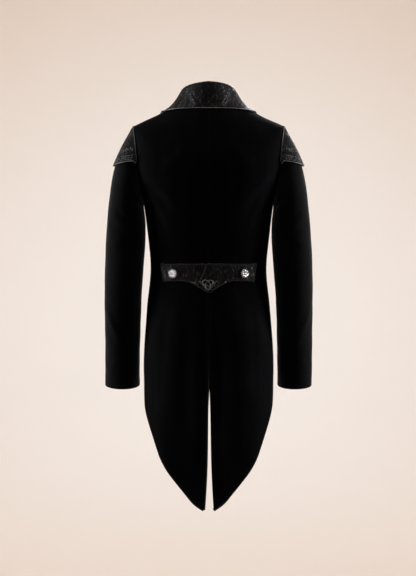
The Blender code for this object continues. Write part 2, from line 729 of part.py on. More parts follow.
def make_collar():
    """Stand, roll and fall in one piece from one break round the neck to the other."""
    angles, levels = collar_seam()
    seam = body(angles, levels)
    steps = np.linalg.norm(np.diff(seam, axis=0), axis=1)
    run = np.concatenate([[0.0], np.cumsum(steps)])
    at = {name: curve(run)[:, None] for name, curve in table(COLLAR_SECTIONS, COLLAR_COLUMNS).items()}
    normal = body_normal(angles, levels)
    along = np.gradient(seam, axis=0)
    along[0] = (1.0, 0.0, 0.0)
    off = unit(np.cross(unit(along), normal))
    rise = np.radians(at["stand_rise"])
    stand = off * np.cos(rise) + normal * np.sin(rise)
    outward = normal * np.cos(rise) - off * np.sin(rise)
    foot = seam + off * SEAM_GAP / 2
    head = foot + stand * at["stand_height"]
    columns = [foot + (head - foot) * k / STAND_STEPS for k in range(STAND_STEPS)]
    for k in range(ROLL_STEPS):
        turn = math.pi * k / ROLL_STEPS
        shift = outward * (1 - math.cos(turn)) + stand * math.sin(turn)
        columns.append(head + shift * ROLL_RADIUS)
    rolled = head + outward * 2 * ROLL_RADIUS - (foot + normal * COLLAR_LIFT)
    for k in range(FALL_STEPS + 1):
        share = (k / FALL_STEPS) ** FALL_STEP_SPREAD
        angle = angles + (at["edge_angle"][:, 0] - angles) * share
        level = levels + (at["edge_level"][:, 0] - levels) * share
        lying = body(angle, level) + body_normal(angle, level) * COLLAR_LIFT
        columns.append(lying + rolled * (1 - share) ** at["cling"])
    half = np.stack(columns, axis=1)
    under = np.concatenate([half[:0:-1] * MIRROR, half])
    along_seam = np.gradient(under, axis=0)
    across = np.gradient(under, axis=1)
    over = under + unit(np.cross(along_seam, across)) * BROCADE_WALL
    mesh_wall("collar", over, under, BROCADE)
    edge = (over[:, -1] + under[:, -1]) / 2
    before = (over[:, -2] + under[:, -2]) / 2
    cord("collar_cord", edge + unit(edge - before) * (CORD_RADIUS + SEAM_GAP), CORD_RADIUS)


def belt_bottom(x):
    """Height of the belt's lower edge."""
    share = np.clip(1 - np.abs(x) / BELT_POINT_HALF_WIDTH, 0, 1)
    return BELT_BOTTOM + (BELT_POINT - BELT_BOTTOM) * share**BELT_POINT_SHARPNESS


def belt_faces(x, z, lift):
    """The two faces of a piece of the belt. x may be of either sign."""
    angle, level = place_on_back(np.abs(x), z)
    flip = np.where(x[..., None] < 0, MIRROR, 1.0)
    normal = body_normal(angle, level) * flip
    under = body(angle, level) * flip + normal * lift[..., None]
    return under + normal * BROCADE_WALL, under


def belt_grid(side, inner_top, inner_bottom):
    """x and z of the points of a half belt on one side, +1 or -1, to its end at the middle."""
    down = np.linspace(0, 1, BELT_ROWS + 1)[:, None]
    across = np.linspace(0, 1, BELT_COLUMNS + 1)[None, :]
    outer_x = side * (BELT_HALF_LENGTH - BELT_END_SLANT * down)
    x = outer_x + (inner_top + (inner_bottom - inner_top) * down - outer_x) * across
    return x, BELT_TOP + (belt_bottom(x) - BELT_TOP) * down


def make_belt():
    """Two brocade halves, the right one lapped over the left one at the knot, corded all round."""
    out = CORD_RADIUS + SEAM_GAP
    x, z = belt_grid(1.0, 0.0, 0.0)
    over, under = belt_faces(x, z, BELT_LIFT + np.zeros_like(x))
    mesh_wall("half_belt_left", over, under, BROCADE)
    rim = rim_of((over + under) / 2)
    path = beside(rim, rim_of(over - under), out, cyclic=True)
    covered_to = np.where(z < BELT_BOTTOM, BELT_OVERLAP_BOTTOM, BELT_OVERLAP_TOP)
    shown = rim_of(x - covered_to > 3 * CORD_RADIUS)
    middle_end = BELT_COLUMNS + 1
    path = np.roll(path, -middle_end, axis=0)[np.roll(shown, -middle_end)]
    cord("belt_cord_left", path, CORD_RADIUS)
    x, z = belt_grid(-1.0, BELT_OVERLAP_TOP, BELT_OVERLAP_BOTTOM)
    low, high = BELT_LAP_RISE
    over, under = belt_faces(x, z, BELT_LIFT + BELT_LAP_STEP * smooth_step((x - low) / (high - low)))
    mesh_wall("half_belt_right", over, under, BROCADE)
    rim = rim_of((over + under) / 2)
    path = beside(rim, rim_of(under - over), out, cyclic=True)
    cord("belt_cord_right", path, CORD_RADIUS, cyclic=True)


def make_knot():
    """A cord tied in a trefoil, sewn on where the two halves of the belt meet."""
    turn = np.linspace(0, 2 * math.pi, KNOT_STEPS, endpoint=False)
    across = KNOT_SIZE * (np.sin(turn) + 2 * np.sin(2 * turn))
    up = KNOT_SIZE * (np.cos(turn) - 2 * np.cos(2 * turn))
    rise = -KNOT_RISE * np.sin(3 * turn)
    x = KNOT_CENTRE[0] + across
    z = KNOT_CENTRE[1] + up
    belt_top = BELT_LIFT + BELT_LAP_STEP + BROCADE_WALL
    base = belt_top + SEAM_GAP + KNOT_CORD_RADIUS + KNOT_RISE
    angle, level = place_on_back(np.abs(x), z)
    flip = np.where(x[..., None] < 0, MIRROR, 1.0)
    normal = body_normal(angle, level) * flip
    path = body(angle, level) * flip + normal * (base + rise)[..., None]
    cord("belt_knot", path, KNOT_CORD_RADIUS, cyclic=True)


def make_buttons():
    """Two rosette buttons on the belt, three of the same kind that close the front."""
    x, z = BELT_BUTTON
    angle, level = place_on_back(x, z)
    outward = body_normal(angle, level)
    seat = body(angle, level) + outward * (BELT_LIFT + BROCADE_WALL + SEAM_GAP)
    button("belt_button_left", seat, outward)
    button("belt_button_right", seat * MIRROR, outward * MIRROR)
    for number, height in enumerate(FRONT_BUTTON_HEIGHTS, start=1):
        outward = body_normal(180.0, height)
        seat = body(180.0, height) + outward * SEAM_GAP
        button(f"front_button_{number}", seat, outward)


make_backs()
make_fronts()
make_sleeves()
make_shoulder_caps()
make_collar()
make_belt()
make_knot()
make_buttons()
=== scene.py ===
"""The looks of a worn tailcoat, seen in the photo from behind: near-black velvet body and sleeves,
a black brocade collar, shoulder caps and half belt with corded edges, and silvery metal buttons.
Metres, +Z up. The front faces -Y, the wearer's left is +X, and the origin is at the neck."""

import math
import random

import bmesh
import bpy
import numpy as np
from mathutils import Matrix, Vector
from mathutils.bvhtree import BVHTree


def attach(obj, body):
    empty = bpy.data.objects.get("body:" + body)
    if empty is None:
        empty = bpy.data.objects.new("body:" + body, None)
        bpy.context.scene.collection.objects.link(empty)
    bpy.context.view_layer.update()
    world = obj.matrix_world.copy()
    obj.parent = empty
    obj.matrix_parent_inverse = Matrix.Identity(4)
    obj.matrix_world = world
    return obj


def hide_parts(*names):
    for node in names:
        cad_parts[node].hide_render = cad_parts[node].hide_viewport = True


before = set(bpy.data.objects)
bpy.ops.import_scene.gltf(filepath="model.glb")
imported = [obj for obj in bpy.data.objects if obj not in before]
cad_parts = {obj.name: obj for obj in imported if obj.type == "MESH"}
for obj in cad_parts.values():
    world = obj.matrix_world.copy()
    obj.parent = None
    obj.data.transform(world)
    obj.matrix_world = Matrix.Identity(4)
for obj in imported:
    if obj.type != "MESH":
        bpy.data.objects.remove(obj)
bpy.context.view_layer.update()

# The photographer's camera stands 5 metres behind the coat, level with the hips. Its picture is
# 416 x 576 and shows 2.55 mm a pixel at the coat.
CAMERA_DISTANCE = 5.0
CAMERA_CENTRE = (0.0015, -0.4667)
PICTURE_HEIGHT = 576 * 0.00255
SENSOR = 36.0
camera_data = bpy.data.cameras.new("camera")
camera_data.sensor_width = SENSOR
camera_data.lens = SENSOR * CAMERA_DISTANCE / PICTURE_HEIGHT
camera = bpy.data.objects.new("camera", camera_data)
camera.location = (CAMERA_CENTRE[0], CAMERA_DISTANCE, CAMERA_CENTRE[1])
camera.rotation_euler = (math.pi / 2, 0, math.pi)
bpy.context.scene.collection.objects.link(camera)
bpy.context.scene.camera = camera
bpy.context.scene.view_settings.view_transform = "Standard"


# The studio is a round bowl of warm white paper: a flat floor that curves up into a wall, so that
# no edge shows behind the coat. The floor lies where the soles of a wearer's shoes would be.
FLOOR_HEIGHT = -1.45
FLOOR_RADIUS = 5.0
BEND_RADIUS = 3.4
WALL_RADIUS = 8.4
WALL_TOP = 9.0
BEND_STEPS = 12
BEHIND_COAT = (0.0, -2.6, -0.5)  # the painted pool of light on the paper is palest here, with Y times FLOOR_SHARE
FLOOR_SHARE = 0.35
FADE = (0.5, 3.4)  # the painted light fades to the darker, warmer tone between these distances


def linear(code, alpha=1.0):
    """A colour for a shader, from its sRGB hex code."""
    values = [int(code[k : k + 2], 16) / 255 for k in (1, 3, 5)]
    return (*[v / 12.92 if v <= 0.04045 else ((v + 0.055) / 1.055) ** 2.4 for v in values], alpha)


def add(tree, kind, inputs=None, **settings):
    """A node with its settings, its input values and its links."""
    made = tree.nodes.new(kind)
    for name, value in settings.items():
        setattr(made, name, value)
    for name, value in (inputs or {}).items():
        if isinstance(value, bpy.types.NodeSocket):
            tree.links.new(value, made.inputs[name])
        else:
            made.inputs[name].default_value = value
    return made


def start_material(name):
    """A new material, its node tree emptied."""
    made = bpy.data.materials.new(name)
    made.use_nodes = True
    made.node_tree.nodes.clear()
    return made, made.node_tree


def finish_material(made, inputs):
    """Gives a material its shader with these inputs."""
    shader = add(made.node_tree, "ShaderNodeBsdfPrincipled", inputs)
    add(made.node_tree, "ShaderNodeOutputMaterial", {"Surface": shader.outputs[0]})
    return made


def noise(tree, vector, scale, detail=2.0):
    inputs = {"Vector": vector, "Scale": scale, "Detail": detail}
    return add(tree, "ShaderNodeTexNoise", inputs).outputs["Fac"]


def blend(tree, share, low, high):
    """From one colour to another as the share rises. Each is a hex code or a node's output."""
    ends = [linear(end) if isinstance(end, str) else end for end in (low, high)]
    return add(tree, "ShaderNodeMix", {0: share, 6: ends[0], 7: ends[1]}, data_type="RGBA").outputs[2]


def rising(tree, value, start, end, kind="SMOOTHSTEP"):
    """0 up to the start, 1 from the end on, and a rise between."""
    limits = {"Value": value, "From Min": start, "From Max": end}
    return add(tree, "ShaderNodeMapRange", limits, interpolation_type=kind).outputs[0]


def show(name, data):
    """A mesh or a light as an object of the scene."""
    made = bpy.data.objects.new(name, data)
    bpy.context.scene.collection.objects.link(made)
    return made


def studio_paper():
    """Matt background paper, warm white, with a faint unevenness of its pulp. Its colour also holds
    painted light: it is palest behind the coat and darker and warmer away from it."""
    made, tree = start_material("studio_paper")
    place = add(tree, "ShaderNodeTexCoord").outputs["Object"]
    pulp = blend(tree, noise(tree, place, 1.2), "#f5f6f7", "#f8f9fa")
    # The distance from the pale spot behind the coat sets a painted falloff of light: the paper is drawn
    # darker and warmer away from it.
    flat = add(tree, "ShaderNodeVectorMath", {0: place, 1: (1.0, FLOOR_SHARE, 1.0)}, operation="MULTIPLY")
    away = add(tree, "ShaderNodeVectorMath", {0: flat.outputs[0], 1: BEHIND_COAT}, operation="DISTANCE")
    painted_light_tone = blend(tree, rising(tree, away.outputs["Value"], *FADE), pulp, "#e1d4c9")
    return finish_material(made, {"Base Color": painted_light_tone, "Roughness": 1.0, "Specular IOR Level": 0.0})


def make_studio():
    """The bowl is an outline turned round the upright axis."""
    bend = [math.radians(90 * k / BEND_STEPS) for k in range(BEND_STEPS + 1)]
    reach = WALL_RADIUS - FLOOR_RADIUS
    outline = [(0.0, 0.0), (FLOOR_RADIUS / 2, 0.0)]
    outline += [(FLOOR_RADIUS + reach * math.sin(a), BEND_RADIUS * (1 - math.cos(a))) for a in bend]
    outline.append((WALL_RADIUS, WALL_TOP))
    build = bmesh.new()
    corners = [build.verts.new((radius, 0, FLOOR_HEIGHT + height)) for radius, height in outline]
    for start, end in zip(corners, corners[1:]):
        build.edges.new((start, end))
    turned = build.verts[:] + build.edges[:]
    turn = {"cent": (0, 0, 0), "axis": (0, 0, 1), "angle": 2 * math.pi, "steps": 64}
    bmesh.ops.spin(build, geom=turned, use_merge=True, **turn)
    bmesh.ops.remove_doubles(build, verts=build.verts, dist=0.0001)
    bmesh.ops.recalc_face_normals(build, faces=build.faces)
    mesh = bpy.data.meshes.new("studio")
    build.to_mesh(mesh)
    build.free()
    mesh.shade_smooth()
    mesh.materials.append(studio_paper())
    show("studio", mesh)


make_studio()


# Soft studio light: one above the coat, a large one on the camera's side, two tall ones beside the
# coat that give the velvet its pale edges, and one for its front. Each row of LIGHTS has a place, an
# aim, a width and height, a power in watts and a spread.
WIDE = math.pi
SIDEWAYS = math.radians(40)
NARROW = math.radians(36)
LIGHTS = (
    ("over", (0.0, 0.4, 1.9), (0.0, 0.1, -0.3), (1.2, 1.0), 5.0, NARROW),
    ("camera_side", (1.4, 5.0, 1.8), (0.0, 0.0, -0.5), (3.0, 3.0), 9.0, WIDE),
    ("edge_left", (2.6, -0.2, -0.2), (0.1, 0.0, -0.35), (0.8, 1.4), 20.0, SIDEWAYS),
    ("edge_right", (-2.6, -0.2, -0.2), (-0.1, 0.0, -0.35), (0.8, 1.4), 20.0, SIDEWAYS),
    ("front_side", (-1.0, -3.4, 1.6), (0.0, 0.0, -0.5), (1.6, 1.6), 10.0, NARROW),
)
SKY = 1.39  # strength of the white light from all around


def light_studio():
    for name, place, aim, size, power, spread in LIGHTS:
        data = bpy.data.lights.new(name, "AREA")
        data.shape = "RECTANGLE"
        data.size, data.size_y = size
        data.energy = power
        data.spread = spread
        lamp = show(name, data)
        lamp.location = place
        lamp.rotation_euler = (Vector(aim) - Vector(place)).to_track_quat("-Z", "Y").to_euler()
        lamp.visible_camera = False
    world = bpy.data.worlds.new("soft_white")
    bpy.context.scene.world = world
    world.use_nodes = True
    sky = world.node_tree.nodes["Background"]
    sky.inputs["Color"].default_value = linear("#fffcf9")
    sky.inputs["Strength"].default_value = SKY


light_studio()


# Backs and fronts: black velvet, lined with satin, in panels from the neck down that are joined by
# seams at the centre back, the sides and the shoulders. A maker presses the seams open, so the
# panels' edges roll in to each other. The fronts are cut away below the waist.
SIDES = (("left", 1.0), ("right", -1.0))
RIM_ANGLE = math.radians(50)
RIM_ROUNDING = 0.0007
PANEL_LEVELS = 3
SAME_PLACE = 0.00001  # vertices closer than this are one
JOIN_LIMITS = {"angle_face_threshold": 0.9, "angle_shape_threshold": 3.0, "topology_influence": 2.0}
INNER_FACING = -0.4  # faces turned inwards this far are lining
POINTS_AT_ONCE = 8000  # more would need too much memory

# Folds where the cloth is pulled or hangs: the points they pass through, half width, depth. The
# wearer's left is given, and the right gets them mirrored and a little softer.
BACK_FOLDS = (
    (
        ((0.008, 0.09, -0.325), (0.008, 0.09, -0.365), (0.009, 0.09, -0.400), (0.014, 0.09, -0.412)),
        0.006,
        0.0022,
    ),
    (((0.168, 0.06, -0.205), (0.130, 0.09, -0.235), (0.098, 0.10, -0.285)), 0.016, 0.0026),
    (((0.164, 0.06, -0.250), (0.132, 0.08, -0.290), (0.112, 0.09, -0.345)), 0.013, 0.0020),
    (((0.150, 0.03, -0.385), (0.124, 0.06, -0.392), (0.095, 0.08, -0.385)), 0.010, 0.0016),
    (((0.147, 0.03, -0.430), (0.130, 0.05, -0.440), (0.118, 0.06, -0.465)), 0.010, 0.0014),
    (((0.048, 0.11, -0.105), (0.090, 0.11, -0.150), (0.120, 0.10, -0.170)), 0.022, -0.0018),
    (((0.050, 0.10, -0.500), (0.062, 0.12, -0.660), (0.058, 0.11, -0.900)), 0.020, 0.0018),
    (((0.105, 0.08, -0.480), (0.118, 0.09, -0.620), (0.116, 0.09, -0.800)), 0.018, 0.0016),
    (((0.026, 0.11, -0.560), (0.030, 0.12, -0.720), (0.026, 0.11, -0.960)), 0.012, -0.0012),
)
FRONT_FOLDS = (
    (((0.170, -0.06, -0.215), (0.140, -0.09, -0.250), (0.118, -0.10, -0.300)), 0.014, 0.0026),
    (((0.160, -0.06, -0.275), (0.128, -0.09, -0.300), (0.105, -0.10, -0.345)), 0.012, 0.0018),
    (((0.022, -0.11, -0.372), (0.070, -0.10, -0.380), (0.120, -0.07, -0.372)), 0.010, 0.0018),
    (((0.022, -0.11, -0.405), (0.075, -0.10, -0.418), (0.135, -0.05, -0.412)), 0.011, 0.0020),
    (((0.030, -0.11, -0.440), (0.080, -0.10, -0.462), (0.130, -0.06, -0.470)), 0.012, 0.0016),
    (((0.118, -0.08, -0.490), (0.140, -0.06, -0.570), (0.150, -0.04, -0.690)), 0.016, 0.0020),
    (((0.150, -0.03, -0.480), (0.160, 0.00, -0.560), (0.160, 0.01, -0.680)), 0.018, 0.0018),
    (((0.120, -0.09, -0.080), (0.132, -0.10, -0.130), (0.150, -0.09, -0.175)), 0.014, 0.0016),
)
RIGHT_SHARE = 0.8
FOLD_END = 0.3  # a fold fades in and out over this share of its length
RIDGE = 0.8  # the larger, the higher the ridges beside a trough
WAVES = 7
WAVE_DEPTH = 0.00022
WAVE_LENGTHS = (0.05, 0.14)
BODY_HALF_WIDTH = 0.160
BODY_HALF_DEPTH = 0.110
SHOULDER_TURN = (-0.17, -0.02)  # between these heights the cloth turns from upright to lying


def unit(vectors):
    return vectors / np.maximum(np.linalg.norm(vectors, axis=-1, keepdims=True), 1e-12)


def smooth_step(value):
    t = np.clip(value, 0.0, 1.0)
    return t * t * (3 - 2 * t)


def points_of(mesh):
    values = np.empty(len(mesh.vertices) * 3, np.float32)
    mesh.vertices.foreach_get("co", values)
    return values.reshape(-1, 3).astype(float)


def place_points(mesh, points):
    mesh.vertices.foreach_set("co", np.asarray(points, np.float32).ravel())
    mesh.update()


def along_path(points, path):
    """For each point: the way along the path to its nearest place there, and the distance."""
    path = np.asarray(path, float)
    starts, ways = path[:-1], np.diff(path, axis=0)
    lengths = np.linalg.norm(ways, axis=1)
    before = np.concatenate([[0.0], np.cumsum(lengths)[:-1]])
    run, gap = np.empty(len(points)), np.empty(len(points))
    for first in range(0, len(points), POINTS_AT_ONCE):
        batch = slice(first, first + POINTS_AT_ONCE)
        part = points[batch]
        to = part[:, None, :] - starts[None]
        share = np.clip((to * ways).sum(-1) / np.maximum(lengths**2, 1e-12), 0, 1)
        away = np.linalg.norm(to - share[..., None] * ways, axis=-1)
        best = away.argmin(axis=1)
        rows = np.arange(len(part))
        run[batch] = before[best] + share[rows, best] * lengths[best]
        gap[batch] = away[rows, best]
    return run, gap


def surface_of(nodes):
    """A search tree over CAD nodes, to find places on their surfaces."""
    spots, faces = [], []
    for node in nodes:
        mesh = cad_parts[node].data
        faces += [[len(spots) + k for k in face.vertices] for face in mesh.polygons]
        spots += [vert.co.copy() for vert in mesh.vertices]
    return BVHTree.FromPolygons(spots, faces)


def rounded(path, surface=None, steps=8):
    """A smooth path through a few points, laid on the surface if there is one."""
    path = [Vector(p) for p in path]
    made = []
    for k in range(len(path) - 1):
        a = path[max(k - 1, 0)]
        b, c = path[k], path[k + 1]
        d = path[min(k + 2, len(path) - 1)]
        for step in range(steps if k < len(path) - 2 else steps + 1):
            t = step / steps
            bow = (2 * a - 5 * b + 4 * c - d) * t * t + (3 * b - a - 3 * c + d) * t**3
            p = 0.5 * (2 * b + (c - a) * t + bow)
            made.append(surface.find_nearest(p)[0] if surface else p)
    return np.array([list(p) for p in made])


def fold_depths(points, folds, nodes, side):
    """How far the folds shift the cloth inwards. Each trough has a low ridge on both sides."""
    surface = surface_of(nodes)
    total = np.zeros(len(points))
    for path, half_width, depth in folds:
        mirrored = [(x * side, y, z) for x, y, z in path]
        run, gap = along_path(points, rounded(mirrored, surface))
        share = run / max(run.max(), 1e-6)
        fade = smooth_step(share / FOLD_END) * smooth_step((1 - share) / FOLD_END)
        across = (gap / half_width) ** 2
        total += depth * (1.0 if side > 0 else RIGHT_SHARE) * fade * (1 - RIDGE * across) * np.exp(-across)
    return total


def soft_waves(points, seed):
    """The small unevenness of cloth that no one has pressed flat."""
    rng = np.random.default_rng(seed)
    total = np.zeros(len(points))
    for _ in range(WAVES):
        way = unit(rng.normal(size=3) * (1.0, 1.0, 0.6))
        length = rng.uniform(*WAVE_LENGTHS)
        total += np.sin(points @ way * 2 * math.pi / length + rng.uniform(0, 2 * math.pi))
    return total * WAVE_DEPTH


def away_from_body(points):
    """The outward direction on the body's panels."""
    level = points * (1 / BODY_HALF_WIDTH**2, 1 / BODY_HALF_DEPTH**2, 0.0)
    low, high = SHOULDER_TURN
    lying = smooth_step((points[:, 2:] - low) / (high - low))
    return unit(unit(level) * (1 - 0.75 * lying) + np.array([0.0, 0.0, 1.0]) * lying)


def merged_copy(node):
    """A CAD node's mesh with its loose triangles joined."""
    build = bmesh.new()
    build.from_mesh(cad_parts[node].data)
    bmesh.ops.remove_doubles(build, verts=build.verts, dist=SAME_PLACE)
    return build


def face_values(mesh, kind):
    values = np.empty(len(mesh.polygons) * 3, np.float32)
    mesh.polygons.foreach_get(kind, values)
    return values.reshape(-1, 3)


def shell(name, node, levels, finish, lining=None, outward=None, depth=None):
    """A CAD piece's own form as finely divided cloth, with its rims rounded. depth gives for each
    point how far it is shifted against the outward direction. Inner faces get the lining."""
    build = merged_copy(node)
    bmesh.ops.join_triangles(build, faces=build.faces, **JOIN_LIMITS)
    crease = build.edges.layers.float.new("crease_edge")
    for edge in build.edges:
        if edge.calc_face_angle(0.0) > RIM_ANGLE:
            edge[crease] = 1.0
    cage = bpy.data.meshes.new(name)
    build.to_mesh(cage)
    build.free()
    rough = show(name + "_cage", cage)
    divided = rough.modifiers.new("divided", "SUBSURF")
    divided.levels = divided.render_levels = levels
    rim = rough.modifiers.new("rim", "BEVEL")
    rim.width = RIM_ROUNDING
    rim.segments = 2
    rim.limit_method = "ANGLE"
    rim.angle_limit = RIM_ANGLE
    mesh = bpy.data.meshes.new_from_object(rough.evaluated_get(bpy.context.evaluated_depsgraph_get()))
    bpy.data.objects.remove(rough)
    mesh.name = name
    mesh.materials.clear()
    mesh.materials.append(finish)
    points = points_of(mesh)
    if lining:
        mesh.materials.append(lining)
        out = outward(face_values(mesh, "center").astype(float))
        inner = (face_values(mesh, "normal") * out).sum(axis=1) < INNER_FACING
        mesh.polygons.foreach_set("material_index", inner.astype(np.int32))
    if depth is not None:
        place_points(mesh, points - outward(points) * depth(points)[:, None])
    mesh.shade_smooth()
    return show(name, mesh)


def calculated(tree, kind, *values):
    """The result of a Math node."""
    return add(tree, "ShaderNodeMath", dict(enumerate(values)), operation=kind).outputs[0]


def ranging(tree, value, low, high):
    """A value of 0 to 1 brought to another range."""
    return add(tree, "ShaderNodeMapRange", {"Value": value, "To Min": low, "To Max": high}).outputs[0]


def relief(tree, height, strength, distance):
    """Normals bumped by a height."""
    bump = add(tree, "ShaderNodeBump", {"Height": height, "Strength": strength, "Distance": distance})
    return bump.outputs[0]


def velvet(name, sheen, spread):
    """Black cotton velvet: a dense cut pile that swallows light and shows a pale sheen only where
    it turns away. The grain of the pile is drawn 1.6 mm across so that it shows, and its nap runs
    down in soft streaks where hands have brushed it."""
    made, tree = start_material(name)
    place = add(tree, "ShaderNodeTexCoord").outputs["Object"]
    pile = noise(tree, place, 620.0, 3.0)
    nap_way = add(tree, "ShaderNodeMapping", {"Vector": place, "Scale": (1.0, 1.0, 0.22)})
    nap = noise(tree, nap_way.outputs[0], 46.0)
    brushed = noise(tree, place, 9.0)
    shade = rising(tree, calculated(tree, "MULTIPLY", nap, brushed), 0.14, 0.38, "LINEAR")
    heights = calculated(tree, "ADD", pile, calculated(tree, "MULTIPLY", nap, 2.0))
    inputs = {
        "Base Color": blend(tree, shade, "#010101", "#020203"),
        "Roughness": ranging(tree, pile, 0.62, 0.95),
        "Specular IOR Level": 0.005,
        "Sheen Weight": sheen,
        "Sheen Roughness": spread,
        "Sheen Tint": linear("#c8c8d0"),
        "Normal": relief(tree, heights, 0.5, 0.0004),
    }
    return finish_material(made, inputs)


def satin_lining():
    """Black acetate satin, woven, with long floats that gleam in one direction."""
    made, tree = start_material("black_acetate_satin")
    place = add(tree, "ShaderNodeTexCoord").outputs["Object"]
    way = add(tree, "ShaderNodeMapping", {"Vector": place, "Scale": (1.0, 1.0, 0.12)})
    floats = noise(tree, way.outputs[0], 900.0)
    inputs = {
        "Base Color": linear("#050506"),
        "Roughness": ranging(tree, floats, 0.28, 0.46),
        "Specular IOR Level": 0.12,
        "Normal": relief(tree, floats, 0.3, 0.0002),
    }
    return finish_material(made, inputs)


VELVET = velvet("black_cotton_velvet", 0.04, 0.2)
SLEEVE_VELVET = velvet("black_cotton_velvet_nap_up", 0.09, 0.38)  # its nap faces the light more
LINING = satin_lining()


def cloth_panel(node, side):
    """Both panels of a side get the same folds and waves, so that they agree along their seam."""

    def depth(points):
        nodes = ("back_left", "front_left") if side > 0 else ("back_right", "front_right")
        return fold_depths(points, BACK_FOLDS + FRONT_FOLDS, nodes, side) + soft_waves(points, 1)

    made = shell(node + "_cloth", node, PANEL_LEVELS, VELVET, LINING, away_from_body, depth)
    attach(made, "root")
    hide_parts(node)
    return made


back_left = cloth_panel("back_left", 1.0)
back_right = cloth_panel("back_right", -1.0)
front_left = cloth_panel("front_left", 1.0)
front_right = cloth_panel("front_right", -1.0)


# Sleeves: two pieces each, a top sleeve over the outside of the arm and an under sleeve against
# the body. They are cut to a bent arm, so they crumple in the bend and above the cuff.
SLEEVE_LEVELS = 3
ARM_AXIS = (
    (0.190, -0.004, -0.100),
    (0.205, -0.002, -0.200),
    (0.210, 0.000, -0.300),
    (0.215, 0.001, -0.420),
    (0.2185, -0.006, -0.490),
    (0.2196, -0.019, -0.570),
    (0.2211, -0.036, -0.645),
    (0.2213, -0.054, -0.715),
)
SLEEVE_FOLDS = (
    (((0.234, 0.05, -0.274), (0.214, 0.06, -0.288), (0.194, 0.06, -0.300)), 0.009, 0.0030),
    (((0.250, 0.03, -0.300), (0.226, 0.06, -0.322), (0.200, 0.06, -0.330)), 0.012, 0.0018),
    (((0.182, 0.05, -0.330), (0.206, 0.06, -0.356), (0.236, 0.05, -0.366)), 0.011, 0.0022),
    (((0.258, 0.02, -0.505), (0.244, 0.03, -0.560), (0.216, 0.03, -0.618)), 0.012, -0.0026),
    (((0.226, 0.02, -0.630), (0.206, 0.02, -0.645), (0.186, 0.00, -0.640)), 0.007, 0.0032),
    (((0.222, 0.01, -0.660), (0.204, 0.01, -0.660), (0.184, 0.00, -0.668)), 0.006, 0.0030),
    (((0.216, 0.00, -0.684), (0.200, 0.00, -0.680), (0.186, -0.01, -0.690)), 0.006, 0.0024),
    (((0.240, 0.01, -0.645), (0.252, 0.00, -0.660), (0.262, -0.02, -0.668)), 0.008, 0.0018),
    (((0.180, -0.03, -0.372), (0.200, -0.06, -0.388), (0.232, -0.06, -0.392)), 0.009, 0.0034),
    (((0.178, -0.03, -0.404), (0.202, -0.06, -0.418), (0.240, -0.06, -0.414)), 0.009, 0.0036),
    (((0.182, -0.04, -0.440), (0.206, -0.07, -0.446), (0.236, -0.06, -0.438)), 0.009, 0.0024),
    (((0.190, -0.08, -0.600), (0.214, -0.10, -0.618), (0.242, -0.09, -0.622)), 0.009, 0.0024),
    (((0.194, -0.09, -0.650), (0.220, -0.11, -0.660), (0.250, -0.09, -0.652)), 0.008, 0.0022),
    (((0.172, 0.02, -0.262), (0.186, 0.05, -0.250), (0.206, 0.06, -0.236)), 0.010, 0.0020),
    (((0.172, -0.02, -0.270), (0.190, -0.06, -0.262), (0.214, -0.07, -0.250)), 0.010, 0.0022),
    (((0.262, 0.00, -0.330), (0.264, -0.02, -0.380), (0.264, -0.02, -0.430)), 0.012, 0.0014),
)


def away_from_arm(points):
    """The outward direction on either sleeve."""
    axis = np.array(ARM_AXIS)[::-1]
    side = np.sign(points[:, 0])
    centre_x = np.interp(points[:, 2], axis[:, 2], axis[:, 0]) * side
    centre_y = np.interp(points[:, 2], axis[:, 2], axis[:, 1])
    away = np.stack([points[:, 0] - centre_x, points[:, 1] - centre_y, np.zeros(len(points))], axis=-1)
    return unit(away)


def sleeve_depth(points, side):
    name = "left" if side > 0 else "right"
    fade = smooth_step((-0.09 - points[:, 2]) / 0.06)
    folds = fold_depths(points, SLEEVE_FOLDS, ("top_sleeve_" + name, "under_sleeve_" + name), side)
    return (folds + soft_waves(points, 5)) * fade


def sleeve_piece(node, side):
    def depth(points):
        return sleeve_depth(points, side)

    made = shell(node + "_cloth", node, SLEEVE_LEVELS, SLEEVE_VELVET, LINING, away_from_arm, depth)
    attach(made, "root")
    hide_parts(node)
    return made


top_left = sleeve_piece("top_sleeve_left", 1.0)
top_right = sleeve_piece("top_sleeve_right", -1.0)
under_left = sleeve_piece("under_sleeve_left", 1.0)
under_right = sleeve_piece("under_sleeve_right", -1.0)


# Seam bindings: inside the coat each pressed seam is covered with a narrow bias strip of the
# lining, so no light shows through the seams. They follow the edges of the panels.
BINDING_HALF_WIDTH = 0.0040
BINDING_HALF_THICKNESS = 0.0003
BINDING_DEPTH = 0.0027
BINDING_SIDES = 8
BINDING_STEP = 0.004


def edge_chains(node):
    """The sharp edges of a CAD piece as lines of points, split at its corners."""
    build = merged_copy(node)
    places = {v: list(v.co) for v in build.verts}
    links = {}
    for edge in build.edges:
        if edge.calc_face_angle(0.0) > RIM_ANGLE:
            for vert in edge.verts:
                links.setdefault(vert, []).append(edge)
    chains, used = [], set()
    for start in [v for v in links if len(links[v]) != 2]:
        for first in links[start]:
            if first in used:
                continue
            vert, edge, chain = start, first, [places[start]]
            while True:
                used.add(edge)
                vert = edge.other_vert(vert)
                chain.append(places[vert])
                if len(links[vert]) != 2:
                    break
                edge = links[vert][0] if links[vert][0] is not edge else links[vert][1]
            chains.append(np.array(chain))
    build.free()
    return chains


def edge_near(node, place):
    """The line of a piece's sharp edges that passes nearest to a place."""
    chains = [c for c in edge_chains(node) if len(c) > 2]
    return min(chains, key=lambda chain: np.linalg.norm(chain - place, axis=1).min())


